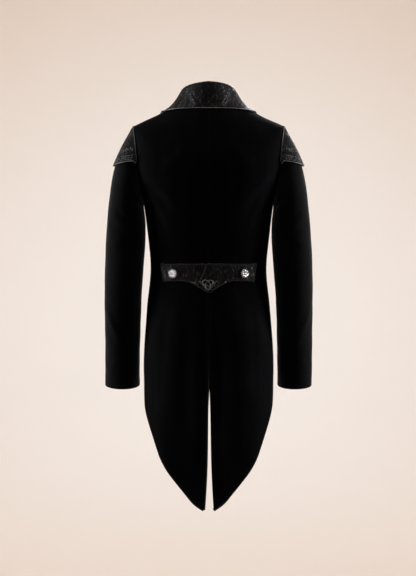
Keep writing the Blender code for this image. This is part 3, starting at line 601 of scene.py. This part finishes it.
def even_line(line, step, cyclic=False):
    """A smooth line through the points, its own points a step apart."""
    line = np.asarray(line, float)
    if cyclic:
        line = np.concatenate([line[-2:], line, line[:3]])
    fine = rounded(line)
    if cyclic:
        fine = fine[16:-15]
    run = np.concatenate([[0.0], np.cumsum(np.linalg.norm(np.diff(fine, axis=0), axis=1))])
    count = max(2, int(round(run[-1] / step)) + 1)
    wanted = np.linspace(0.0, run[-1], count)
    made = np.stack([np.interp(wanted, run, fine[:, k]) for k in range(3)], axis=-1)
    return made[:-1] if cyclic else made


def tangents(line, cyclic=False):
    if cyclic:
        return unit(np.roll(line, -1, axis=0) - np.roll(line, 1, axis=0))
    return unit(np.gradient(line, axis=0))


def sweep(name, line, ups, section, finish, cyclic=False):
    """A closed body whose section, given for each ring as sideways and upward parts, follows a
    line."""
    along = tangents(line, cyclic)
    side = unit(np.cross(along, ups))
    up = np.cross(side, along)
    rings = len(line)
    count = section.shape[1]
    points = line[:, None] + side[:, None] * section[..., :1] + up[:, None] * section[..., 1:]
    faces = []
    for ring in range(rings if cyclic else rings - 1):
        after = (ring + 1) % rings
        for k in range(count):
            n = (k + 1) % count
            faces.append((ring * count + k, ring * count + n, after * count + n, after * count + k))
    if not cyclic:
        faces.append(tuple(reversed(range(count))))
        faces.append(tuple(range((rings - 1) * count, rings * count)))
    mesh = bpy.data.meshes.new(name)
    mesh.from_pydata(points.reshape(-1, 3).tolist(), [], faces)
    build = bmesh.new()
    build.from_mesh(mesh)
    bmesh.ops.recalc_face_normals(build, faces=build.faces)
    build.to_mesh(mesh)
    build.free()
    mesh.shade_smooth()
    mesh.materials.append(finish)
    return show(name, mesh)


def add_part(made):
    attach(made, "root")
    return made


def binding(name, node, place, outward, depth=None):
    line = even_line(edge_near(node, place), BINDING_STEP)
    ups = outward(line)
    if depth:
        line = line - ups * depth(line)[:, None]
    turn = np.linspace(0, 2 * math.pi, BINDING_SIDES, endpoint=False)
    oval = np.stack([BINDING_HALF_WIDTH * np.cos(turn), BINDING_HALF_THICKNESS * np.sin(turn)], axis=-1)
    section = np.broadcast_to(oval, (len(line), BINDING_SIDES, 2))
    return add_part(sweep(name, line - ups * BINDING_DEPTH, ups, section, LINING))


for side, sign in SIDES:
    binding("side_seam_" + side, "back_" + side, (sign * 0.150, 0.0, -0.50), away_from_body)
    binding("shoulder_seam_" + side, "back_" + side, (sign * 0.130, 0.0, -0.026), away_from_body)

    def depth(points, sign=sign):
        return sleeve_depth(points, sign)

    sleeve = "under_sleeve_" + side
    binding("hind_arm_seam_" + side, sleeve, (sign * 0.183, 0.05, -0.40), away_from_arm, depth)
    binding("fore_arm_seam_" + side, sleeve, (sign * 0.183, -0.05, -0.40), away_from_arm, depth)
binding("centre_back_seam", "back_left", (0.0, 0.09, -0.40), away_from_body)


# Corded edges: a hard black cord of three satin strands is sewn along the collar, the armholes,
# the lower edge of the caps and round both halves of the belt. Round the belt the same cord is
# drawn darker and duller.
CORD_RADIUS = 0.0014
CORD_STRANDS = 3
CORD_STRAND_PITCH = 0.0026
CORD_STEP = 0.00065
CORD_SIDES = 12
CORD_GROOVE = 0.16
CAD_CORD_SIDES = 6
ACROSS_ALL = (0.31, 0.92, 0.24)  # no cord starts along this direction


def yarn(name, dark, pale, fineness, gloss, ridges, shine):
    """Spun and twisted yarn: fine ridges of its fibres, with a gleam."""
    made, tree = start_material(name)
    fibres = noise(tree, add(tree, "ShaderNodeTexCoord").outputs["Object"], fineness)
    inputs = {
        "Base Color": blend(tree, fibres, dark, pale),
        "Roughness": ranging(tree, fibres, *gloss),
        "Specular IOR Level": shine,
        "Normal": relief(tree, fibres, ridges, 0.0002),
    }
    return finish_material(made, inputs)


CORD = yarn("black_rayon_cord", "#101011", "#28282a", 1500.0, (0.25, 0.5), 0.4, 0.25)
# The belt's cords: the same cord, drawn darker and duller.
DULL_CORD = yarn("black_rayon_cord_darker_copy", "#060607", "#111112", 1500.0, (0.25, 0.5), 0.4, 0.08)


def cord_line(node):
    """The middle line of a CAD cord, found ring by ring from one of its ends."""
    build = merged_copy(node)
    build.verts.ensure_lookup_table()
    places = np.array([list(v.co) for v in build.verts])
    near = [{e.other_vert(v).index for e in v.link_edges} for v in build.verts]
    build.free()
    start, reached, last = 0, {0}, {0}
    while last:
        start = min(last)
        last = set().union(*[near[k] for k in last]) - reached
        reached |= last

    def nearest(index, among):
        among = sorted(among)
        order = np.argsort(np.linalg.norm(places[among] - places[index], axis=1))
        return {among[k] for k in order[:CAD_CORD_SIDES]}

    ring = nearest(start, range(len(places)))
    used, line = set(ring), [places[sorted(ring)].mean(axis=0)]
    while True:
        beyond = set().union(*[near[k] for k in ring]) - used
        if not beyond:
            return np.array(line)
        ring = nearest(min(beyond), beyond)
        used |= ring
        line.append(places[sorted(ring)].mean(axis=0))


def carried_frame(line):
    """An upward direction for each point that turns as little as it can along the line."""
    along = tangents(line)
    up = np.cross(along[0], ACROSS_ALL)
    ups = []
    for way in along:
        up = up - way * (up @ way)
        up = up / np.linalg.norm(up)
        ups.append(up)
    return np.array(ups)


def twisted_section(count, radius):
    """Rings of a cord whose strands wind round it."""
    run = np.arange(count)[:, None] * CORD_STEP
    turn = np.linspace(0, 2 * math.pi, CORD_SIDES, endpoint=False)[None]
    strand = np.cos(CORD_STRANDS * turn - 2 * math.pi * run / CORD_STRAND_PITCH)
    reach = radius * (1 - CORD_GROOVE + CORD_GROOVE * strand)
    return np.stack([reach * np.cos(turn), reach * np.sin(turn)], axis=-1)


def corded_edge(name, node, cyclic=False, radius=CORD_RADIUS, finish=CORD):
    line = even_line(cord_line(node), CORD_STEP, cyclic)
    made = sweep(name, line, carried_frame(line), twisted_section(len(line), radius), finish, cyclic)
    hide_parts(node)
    return add_part(made)


corded_edge("collar_edge_cord", "collar_cord")
corded_edge("belt_edge_cord_left", "belt_cord_left", finish=DULL_CORD)
corded_edge("belt_edge_cord_right", "belt_cord_right", cyclic=True, finish=DULL_CORD)
for side in ("left", "right"):
    corded_edge("armhole_twisted_cord_" + side, "armhole_cord_" + side)
    corded_edge("cap_twisted_cord_" + side, "cap_edge_cord_" + side)


# Collar and lapels, shoulder caps and half belt: black brocade, a stiff figured silk with glossy
# raised leaves on a dull ground, backed with canvas. Collar and lapels are one piece that rolls
# over; the caps are sewn into the armholes, and the belt's right half laps over the left one.
BROCADE_LEVELS = 2
CAP_LEVELS = 3
BELT_LEVELS = 3
GATHER_PITCH = 0.0052
GATHER_DEPTH = 0.0005
GATHER_REACH = 0.016
GATHER_START = 0.004  # the gathers are full from this far above the cord
PATTERN_STEP = 0.006
COLLAR_WAVES = 0.8


def vector_result(tree, kind, first, second):
    """The result of a Vector Math node."""
    inputs = {0: first, "Scale" if kind == "SCALE" else 1: second}
    return add(tree, "ShaderNodeVectorMath", inputs, operation=kind).outputs[0]


def brocade():
    """Jacquard silk brocade: satin leaves about 5 mm wide and 12 mm long, with ribs 4 mm apart,
    raised over a matt ground. The satin takes the light, so the cloth glints where it turns."""
    made, tree = start_material("black_silk_brocade")
    cut = add(tree, "ShaderNodeUVMap", uv_map="cut").outputs[0]
    bend = add(tree, "ShaderNodeTexNoise", {"Vector": cut, "Scale": 34.0, "Detail": 1.0})
    centred = vector_result(tree, "SUBTRACT", bend.outputs["Color"], (0.5, 0.5, 0.5))
    grown = vector_result(tree, "ADD", cut, vector_result(tree, "SCALE", centred, 0.009))
    stretched = add(tree, "ShaderNodeMapping", {"Vector": grown, "Scale": (1.0, 0.42, 1.0)})
    cells = {"Vector": stretched.outputs[0], "Scale": 190.0, "Randomness": 0.8}
    leaf = add(tree, "ShaderNodeTexVoronoi", cells, feature="DISTANCE_TO_EDGE")
    which = add(tree, "ShaderNodeTexVoronoi", cells, feature="F1").outputs["Color"]
    choice = add(tree, "ShaderNodeSeparateColor", {"Color": which})
    chosen = rising(tree, choice.outputs[0], 0.38, 0.42)
    raised = rising(tree, leaf.outputs["Distance"], 0.02, 0.36)
    satin = calculated(tree, "MULTIPLY", chosen, raised)
    ribbed = vector_result(tree, "ADD", grown, vector_result(tree, "SCALE", which, 0.02))
    rib = add(
        tree,
        "ShaderNodeTexWave",
        {"Vector": ribbed, "Scale": 105.0, "Distortion": 3.0, "Detail": 1.0},
        bands_direction="DIAGONAL",
    )
    ribs = calculated(tree, "MULTIPLY", rib.outputs["Fac"], satin)
    leaves_height = calculated(tree, "MULTIPLY_ADD", ribs, 0.5, satin)
    weave = noise(tree, cut, 1400.0, 1.0)
    height = calculated(tree, "MULTIPLY_ADD", weave, 0.3, leaves_height)
    inputs = {
        "Base Color": blend(tree, satin, "#030304", "#070708"),
        "Roughness": ranging(tree, satin, 0.6, 0.28),
        "Specular IOR Level": ranging(tree, satin, 0.03, 0.09),
        "Normal": relief(tree, height, 0.8, 0.0006),
    }
    return finish_material(made, inputs)


BROCADE = brocade()


def lay_pattern(made, run, gap):
    """The pattern's own map: the way along an edge, and the distance from it, in metres."""
    corners = np.empty(len(made.data.loops), np.int32)
    made.data.loops.foreach_get("vertex_index", corners)
    layer = made.data.uv_layers.new(name="cut")
    layer.data.foreach_set("uv", np.stack([run[corners], gap[corners]], axis=-1).astype(np.float32).ravel())


def brocade_piece(name, node, levels, edge, outward=away_from_body, depth=None):
    made = shell(name, node, levels, BROCADE, outward=outward, depth=depth)
    run, gap = along_path(points_of(made.data), even_line(edge, PATTERN_STEP))
    lay_pattern(made, run, gap)
    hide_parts(node)
    return add_part(made)


def collar_waves(points):
    return soft_waves(points, 8) * COLLAR_WAVES


collar_edge = cord_line("collar_cord")
collar = brocade_piece("collar_brocade", "collar", BROCADE_LEVELS, collar_edge, depth=collar_waves)

caps = {}
for side, sign in SIDES:
    cap_edge = cord_line("cap_edge_cord_" + side)

    def gathers(points, edge=even_line(cap_edge, 0.004)):
        """Small gathers along the cap's lower edge that fade out above it."""
        run, gap = along_path(points, edge)
        fade = smooth_step(1 - gap / GATHER_REACH) * smooth_step(gap / GATHER_START)
        return GATHER_DEPTH * np.sin(2 * math.pi * (run + 0.3 * gap) / GATHER_PITCH) * fade

    name = "shoulder_cap_brocade_" + side
    cap = brocade_piece(name, "shoulder_cap_" + side, CAP_LEVELS, cap_edge, away_from_arm, gathers)
    caps[side] = cap


def belt_half(side):
    node = "half_belt_" + side
    made = shell(node + "_brocade", node, BELT_LEVELS, BROCADE)
    points = points_of(made.data)
    lay_pattern(made, points[:, 0], points[:, 2])
    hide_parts(node)
    add_part(made)
    return made


half_left = belt_half("left")
half_right = belt_half("right")


# The knot on the middle of the belt: one length of twisted cord laid in three loops, over four
# fine cords nested in the belt's point. All are sewn down from behind.
KNOT_CORD_RADIUS = 0.0016
CHEVRON_RADIUS = 0.0009
CHEVRON_MIDDLE = 0.002
CHEVRON_LEVELS = (-0.4750, -0.4712, -0.4674, -0.4636)
CHEVRON_HALF_WIDTHS = (0.009, 0.014, 0.019, 0.023)
CHEVRON_SLOPE = 0.62
CHEVRON_BEND = 0.003  # half the width of the bend at the point
CHEVRON_POINTS = 21
BEHIND_BELT = 0.10  # the cords are laid on from here along Y


def tree_of(made):
    mesh = made.data
    return BVHTree.FromPolygons([v.co for v in mesh.vertices], [p.vertices for p in mesh.polygons])


def laid_on(points, ups, trees, reach=0.012):
    """Each point dropped on the outside of the pieces: its place there and the way that the cloth
    faces, or None where no cloth is."""
    made = []
    for point, up in zip(points, ups):
        start = Vector(point + up * reach)
        hits = [tree.ray_cast(start, Vector(-up), 2 * reach) for tree in trees]
        hits = [hit for hit in hits if hit[0] is not None]
        made.append(min(hits, key=lambda hit: hit[3])[:2] if hits else None)
    return made


corded_edge("knot_twisted_cord", "belt_knot", cyclic=True, radius=KNOT_CORD_RADIUS)
belt_trees = [tree_of(half_left), tree_of(half_right)]
for number, (level, half_width) in enumerate(zip(CHEVRON_LEVELS, CHEVRON_HALF_WIDTHS), 1):
    across = np.linspace(-half_width, half_width, CHEVRON_POINTS)
    rise = CHEVRON_SLOPE * np.sqrt(across**2 + CHEVRON_BEND**2)
    depths = np.full(CHEVRON_POINTS, BEHIND_BELT)
    flat_line = np.stack([CHEVRON_MIDDLE + across, depths, level + rise], axis=-1)
    backward = np.tile([0.0, 1.0, 0.0], (CHEVRON_POINTS, 1))
    seated = laid_on(flat_line, backward, belt_trees, reach=0.03)
    lifted = [list(hit[0] + hit[1] * CHEVRON_RADIUS) for hit in seated if hit]
    line = even_line(lifted, CORD_STEP)
    section = twisted_section(len(line), CHEVRON_RADIUS)
    chevron = sweep("point_cord_" + str(number), line, carried_frame(line), section, CORD)
    add_part(chevron)


# Sewing: rows of single stitches along the seams and edges, and on the brocade sprays of small
# satin-stitched leaves in a paler black silk. All of them are marks set out on the cloth by one
# Geometry Nodes tree. The leaves are raised marks whose paler silk is painted highlight: the
# sprays lie where the brocade glints as it turns.
STITCH_PITCH = 0.0032
STITCH = (0.0011, 0.00028, 0.00028)  # half length, half width, height
BROCADE_INSETS = (0.0030, 0.0052)  # two rows of stitches, this far from the edge
LOWEST, HIGHEST = -9.0, 9.0  # a row between these runs the whole edge
CUFF_ROW_TOP = -0.70
VENT_TOP = -0.699
BELT_POINT = -0.484
STITCHED_EDGES = (  # a panel, a place by its edge on the left, inset, outward, lowest and highest
    ("back_", (0.001, 0.12, -0.60), 0.0040, away_from_body, VENT_TOP, BELT_POINT),
    ("back_", (0.001, 0.12, -0.90), 0.0060, away_from_body, LOWEST, VENT_TOP),
    ("back_", (0.080, 0.10, -0.95), 0.0060, away_from_body, LOWEST, HIGHEST),
    ("front_", (0.100, -0.10, -0.58), 0.0060, away_from_body, LOWEST, HIGHEST),
    ("top_sleeve_", (0.255, -0.05, -0.725), 0.0080, away_from_arm, LOWEST, CUFF_ROW_TOP),
    ("under_sleeve_", (0.185, -0.05, -0.725), 0.0080, away_from_arm, LOWEST, CUFF_ROW_TOP),
)
LEAF = (0.0026, 0.0009, 0.0004)
LEAF_PITCH = 0.0042
LAPEL_START, LAPEL_REST, LAPEL_SPRAYS, LAPEL_SPRAY = 40, 60, 44, 18  # steps of 2 mm along the edge
LAPELS_BEFORE = 0.02  # the edge belongs to the lapels where Y is lower
LAPEL_DRIFT = (0.010, 0.026)  # the sprays run this far inside the edge
LEAF_TURN = math.radians(38)


COTTON_THREAD = yarn("black_cotton_thread", "#040405", "#0c0c0d", 1900.0, (0.5, 0.7), 0.5, 0.1)
# The leaves' silk is drawn paler than the brocade, to stand in for its glints: painted highlight.
GLINT_PAINTED_SILK_THREAD = yarn("charcoal_silk_thread_painted_glint", "#101012", "#26262a", 1900.0, (0.28, 0.48), 0.5, 0.35)


def sewn_marks_tree():
    """Sets a mark on each point, turned and sized by the point's own values."""
    tree = bpy.data.node_groups.new("sewn_marks", "GeometryNodeTree")
    kinds = {"Geometry": "Geometry", "Mark": "Object", "Size": "Float", "Finish": "Material"}
    for label, kind in kinds.items():
        tree.interface.new_socket(label, in_out="INPUT", socket_type="NodeSocket" + kind)
    tree.interface.new_socket("Geometry", in_out="OUTPUT", socket_type="NodeSocketGeometry")
    given = add(tree, "NodeGroupInput")
    turn = add(tree, "GeometryNodeInputNamedAttribute", {"Name": "turn"}, data_type="FLOAT_VECTOR")
    size = add(tree, "GeometryNodeInputNamedAttribute", {"Name": "size"}, data_type="FLOAT")
    scale = add(tree, "ShaderNodeMath", {0: size.outputs[0], 1: given.outputs["Size"]}, operation="MULTIPLY")
    mark = add(tree, "GeometryNodeObjectInfo", {"Object": given.outputs["Mark"]})
    marks = add(
        tree,
        "GeometryNodeInstanceOnPoints",
        {
            "Points": given.outputs["Geometry"],
            "Instance": mark.outputs["Geometry"],
            "Rotation": turn.outputs[0],
            "Scale": scale.outputs[0],
        },
    )
    real = add(tree, "GeometryNodeRealizeInstances", {"Geometry": marks.outputs[0]})
    coated = add(
        tree,
        "GeometryNodeSetMaterial",
        {"Geometry": real.outputs[0], "Material": given.outputs["Finish"]},
    )
    add(tree, "NodeGroupOutput", {"Geometry": coated.outputs[0]})
    return tree


MARKS_TREE = sewn_marks_tree()


def mark_shape(name, half_length, half_width, height):
    """A small lens along +X, pointed at both ends, that bulges over the cloth."""
    build = bmesh.new()
    bmesh.ops.create_icosphere(build, subdivisions=1, radius=1.0)
    for vert in build.verts:
        taper = 1 - 0.5 * vert.co.x**2
        vert.co = (vert.co.x * half_length, vert.co.y * half_width * taper, vert.co.z * height)
    mesh = bpy.data.meshes.new(name)
    build.to_mesh(mesh)
    build.free()
    mesh.shade_smooth()
    return show(name, mesh)


def set_marks(name, marks, form, finish):
    """Marks of one form: its half length, half width and height. Each has a place, a facing, a way
    and a size."""
    shape = mark_shape(name + "_mark", *form)
    mesh = bpy.data.meshes.new(name)
    mesh.from_pydata([list(place) for place, facing, way, size in marks], [], [])
    turns = []
    for place, facing, way, size in marks:
        up = Vector(facing).normalized()
        ahead = Vector(way)
        ahead = (ahead - up * ahead.dot(up)).normalized()
        turns += list(Matrix([ahead, up.cross(ahead), up]).transposed().to_euler())
    mesh.attributes.new("turn", "FLOAT_VECTOR", "POINT").data.foreach_set("vector", turns)
    mesh.attributes.new("size", "FLOAT", "POINT").data.foreach_set("value", [mark[3] for mark in marks])
    rough = show(name + "_points", mesh)
    setter = rough.modifiers.new("marks", "NODES")
    setter.node_group = MARKS_TREE
    values = {"Mark": shape, "Size": 1.0, "Finish": finish}
    for item in MARKS_TREE.interface.items_tree:
        if item.in_out == "INPUT" and item.name in values:
            setter[item.identifier] = values[item.name]
    made_mesh = bpy.data.meshes.new_from_object(rough.evaluated_get(bpy.context.evaluated_depsgraph_get()))
    bpy.data.objects.remove(rough)
    bpy.data.objects.remove(shape)
    return add_part(show(name, made_mesh))


def stitch_row(trees, edge, outward, inset, low=LOWEST, high=HIGHEST):
    """Stitches beside an edge, on whichever side of it the cloth lies."""
    line = even_line(edge, STITCH_PITCH)
    line = line[(line[:, 2] >= low) & (line[:, 2] <= high)]
    ups = outward(line)
    along = tangents(line)
    side = unit(np.cross(along, ups))
    ways = [laid_on(line + side * inset * sign, ups, trees) for sign in (1, -1)]
    seats = max(ways, key=lambda way: sum(seat is not None for seat in way))
    return [(seat[0], seat[1], way, 1.0) for seat, way in zip(seats, along) if seat]


coat_stitches, brocade_stitches = [], []
for side, sign in SIDES:
    for panel, (x, y, z), inset, outward, low, high in STITCHED_EDGES:
        cloth = tree_of(bpy.data.objects[panel + side + "_cloth"])
        edge = edge_near(panel + side, (sign * x, y, z))
        coat_stitches += stitch_row([cloth], edge, outward, inset, low, high)
    cap_edge = cord_line("cap_edge_cord_" + side)
    for inset in BROCADE_INSETS:
        brocade_stitches += stitch_row([tree_of(caps[side])], cap_edge, away_from_arm, inset)
collar_trees = [tree_of(collar)]
brocade_stitches += stitch_row(collar_trees, collar_edge, away_from_body, 0.0035)
for node in ("belt_cord_left", "belt_cord_right"):
    for inset in BROCADE_INSETS:
        brocade_stitches += stitch_row(belt_trees, cord_line(node), away_from_body, inset)
set_marks("coat_stitches", coat_stitches, STITCH, COTTON_THREAD)
set_marks("brocade_stitches", brocade_stitches, STITCH, COTTON_THREAD)

chance = random.Random(11)


def spray(trees, path, outward, spread=0.0036, share=1.0):
    """Leaves left and right of a line, that lean along it. Some are left out, more with a smaller
    share."""
    line = even_line(path, LEAF_PITCH)
    ups = outward(line)
    along = tangents(line)
    side = unit(np.cross(along, ups))
    made = []
    for hand in (1, -1):
        seats = laid_on(line + side * spread * hand, ups, trees, reach=0.03)
        for k, seat in enumerate(seats):
            if seat and chance.random() < share:
                way = along[k] * math.cos(LEAF_TURN) + side[k] * hand * math.sin(LEAF_TURN)
                made.append((seat[0], seat[1], way, chance.uniform(0.7, 1.15)))
    return made


# The sprays below lie along the glint streaks on the collar's back and its ends, down the lapels, along the
# caps' lower edges and beside the belt's middle. Their paler silk is painted highlight.
leaves = []


def backward_from_collar(points):
    return np.tile([0.0, 0.94, 0.34], (len(points), 1))


for sign in (1.0, -1.0):
    streak = [(sign * 0.0590, 0.07, 0.046), (sign * 0.0500, 0.08, 0.026), (sign * 0.0370, 0.09, 0.003)]
    leaves += spray(collar_trees, streak, backward_from_collar, spread=0.0016, share=0.9)
    leaves += spray(collar_trees, streak, backward_from_collar, spread=0.0048, share=0.8)
    low = [(sign * 0.094, 0.06, 0.000), (sign * 0.084, 0.07, 0.010), (sign * 0.072, 0.07, 0.008)]
    leaves += spray(collar_trees, low, backward_from_collar, share=0.8)
run_length = even_line(collar_edge, 0.002)
for start in range(LAPEL_START, len(run_length) - LAPEL_REST, LAPEL_SPRAYS):
    bit = run_length[start : start + LAPEL_SPRAY]
    if bit[:, 1].mean() < LAPELS_BEFORE:
        drift = np.linspace(*LAPEL_DRIFT, len(bit))[:, None]
        towards = np.array([np.sign(bit[0, 0]) * -0.3, -0.2, 0.3])
        leaves += spray(collar_trees, bit + unit(towards) * drift, away_from_body, share=0.9)
for side, sign in SIDES:
    cap_trees = [tree_of(caps[side])]
    edge = even_line(cord_line("cap_edge_cord_" + side), 0.0075)
    for place in edge[2:-2]:
        base = place + (0.0, 0.0, 0.005)
        leaves += spray(cap_trees, [base, base + (-sign * 0.002, 0.0, 0.010)], away_from_arm, 0.0012, 0.8)
        speck = place + (-sign * 0.006, 0.0, 0.028)
        leaves += spray(cap_trees, [speck, speck + (-sign * 0.002, 0.0, 0.006)], away_from_arm, 0.003, 0.4)
for start, end in ((0.060, 0.032), (-0.068, -0.042)):
    for x in np.arange(min(start, end), max(start, end), 0.0042):
        base = np.array([x, 0.10, -0.4520 - 0.010 * (1 - abs(x) / 0.07)])
        leaves += spray(belt_trees, [base, base + (0.001, 0.0, 0.0075)], backward_from_collar, 0.0004, 0.9)
set_marks("brocade_leaves", leaves, LEAF, GLINT_PAINTED_SILK_THREAD)


# Buttons: cast metal rosettes, silver-plated and blackened in their hollows: a roped rim, two
# rings of petals, two of beads and a stud. Two hold the ends of the belt and three the front.
PLATE_REACH = (0.0, 0.80, 0.97, 1.0, 0.94, 0.84, 0.45, 0.0)  # shares of the radius
PLATE_RISE = (0.0, 0.0, 0.14, 0.30, 0.42, 0.40, 0.50, 0.55)  # shares of the height
PLATE_SIDES = 64
ROPE_TURNS = 30
PETALS = 8


def antique_silver():
    """Silver plate: bright where it is rubbed, black where it isn't, and faintly pitted."""
    made, tree = start_material("antique_silver_plate")
    worn = add(tree, "ShaderNodeAttribute", attribute_name="wear").outputs["Fac"]
    stain = noise(tree, add(tree, "ShaderNodeTexCoord").outputs["Object"], 700.0, 4.0)
    bright = rising(tree, calculated(tree, "MULTIPLY_ADD", stain, 0.5, worn), 0.35, 0.85)
    inputs = {
        "Base Color": blend(tree, bright, "#17171a", "#b4b4b8"),
        "Metallic": 1.0,
        "Roughness": ranging(tree, bright, 0.6, 0.24),
        "Normal": relief(tree, stain, 0.3, 0.0001),
    }
    return finish_material(made, inputs)


SILVER = antique_silver()


def add_lump(build, wear, centre, sizes, turn):
    """A small dome of the casting, dull round its foot and bright on top."""
    matrix = Matrix.Translation(centre) @ Matrix.Rotation(turn, 4, "Z") @ Matrix.Diagonal((*sizes, 1.0))
    made = bmesh.ops.create_uvsphere(build, u_segments=14, v_segments=8, radius=1.0, matrix=matrix)
    for vert in made["verts"]:
        vert[wear] = max(0.0, (vert.co.z - centre[2]) / sizes[2])


def ring_of(build, wear, count, reach, height, sizes, lean=0.0, start=0.0):
    for k in range(count):
        turn = 2 * math.pi * (k + start) / count
        centre = (reach * math.cos(turn), reach * math.sin(turn), height)
        add_lump(build, wear, centre, sizes, turn + lean)


def facing_of(node):
    """The way a CAD button faces: away from its flat foot, the largest area that faces one way."""
    areas = {}
    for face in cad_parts[node].data.polygons:
        key = tuple(round(value, 2) for value in face.normal)
        areas[key] = areas.get(key, Vector()) + face.normal * face.area
    return -np.array(max(areas.values(), key=lambda total: total.length).normalized())


def rosette(name, node):
    points = points_of(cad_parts[node].data)
    axis = facing_of(node)
    level = points @ axis
    foot_ring = points[level < level.min() + 0.0001]
    middle = foot_ring.mean(axis=0)
    level = level - level.min()
    radius = np.linalg.norm((points - middle) - level[:, None] * axis, axis=1).max()
    height = level.max()
    build = bmesh.new()
    wear = build.verts.layers.float.new("wear")
    turns = [2 * math.pi * k / PLATE_SIDES for k in range(PLATE_SIDES)]
    rings = []
    for reach, rise in zip(PLATE_REACH, PLATE_RISE):
        spots = [(0, 0)] if reach == 0 else [(reach * math.cos(a), reach * math.sin(a)) for a in turns]
        rings.append([build.verts.new((x * radius, y * radius, rise * height)) for x, y in spots])
    for one, two in zip(rings, rings[1:]):
        for k in range(PLATE_SIDES):
            n = (k + 1) % PLATE_SIDES
            corners = [one[k % len(one)], one[n % len(one)], two[n % len(two)], two[k % len(two)]]
            build.faces.new(list(dict.fromkeys(corners)))
    bmesh.ops.recalc_face_normals(build, faces=build.faces)
    r, h = radius, height  # the castings' sizes are shares of these
    ring_of(build, wear, ROPE_TURNS, 0.91 * r, 0.40 * h, (0.085 * r, 0.052 * r, 0.20 * h), lean=0.9)
    ring_of(build, wear, PETALS, 0.60 * r, 0.46 * h, (0.21 * r, 0.17 * r, 0.24 * h))
    ring_of(build, wear, PETALS, 0.77 * r, 0.44 * h, (0.050 * r, 0.050 * r, 0.18 * h), start=0.5)
    ring_of(build, wear, PETALS, 0.37 * r, 0.52 * h, (0.14 * r, 0.10 * r, 0.26 * h), start=0.5)
    ring_of(build, wear, 14, 0.225 * r, 0.60 * h, (0.045 * r, 0.045 * r, 0.14 * h))
    add_lump(build, wear, (0.0, 0.0, 0.60 * h), (0.15 * r, 0.15 * r, 0.38 * h), 0.0)
    mesh = bpy.data.meshes.new(name)
    build.to_mesh(mesh)
    build.free()
    turned = Vector(axis).to_track_quat("Z", "Y").to_matrix().to_4x4()
    mesh.transform(Matrix.Translation(Vector(middle)) @ turned)
    mesh.shade_smooth()
    mesh.materials.append(SILVER)
    made = show(name, mesh)
    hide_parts(node)
    return add_part(made)


rosette("belt_rosette_left", "belt_button_left")
rosette("belt_rosette_right", "belt_button_right")
rosette("front_rosette_1", "front_button_1")
rosette("front_rosette_2", "front_button_2")
rosette("front_rosette_3", "front_button_3")
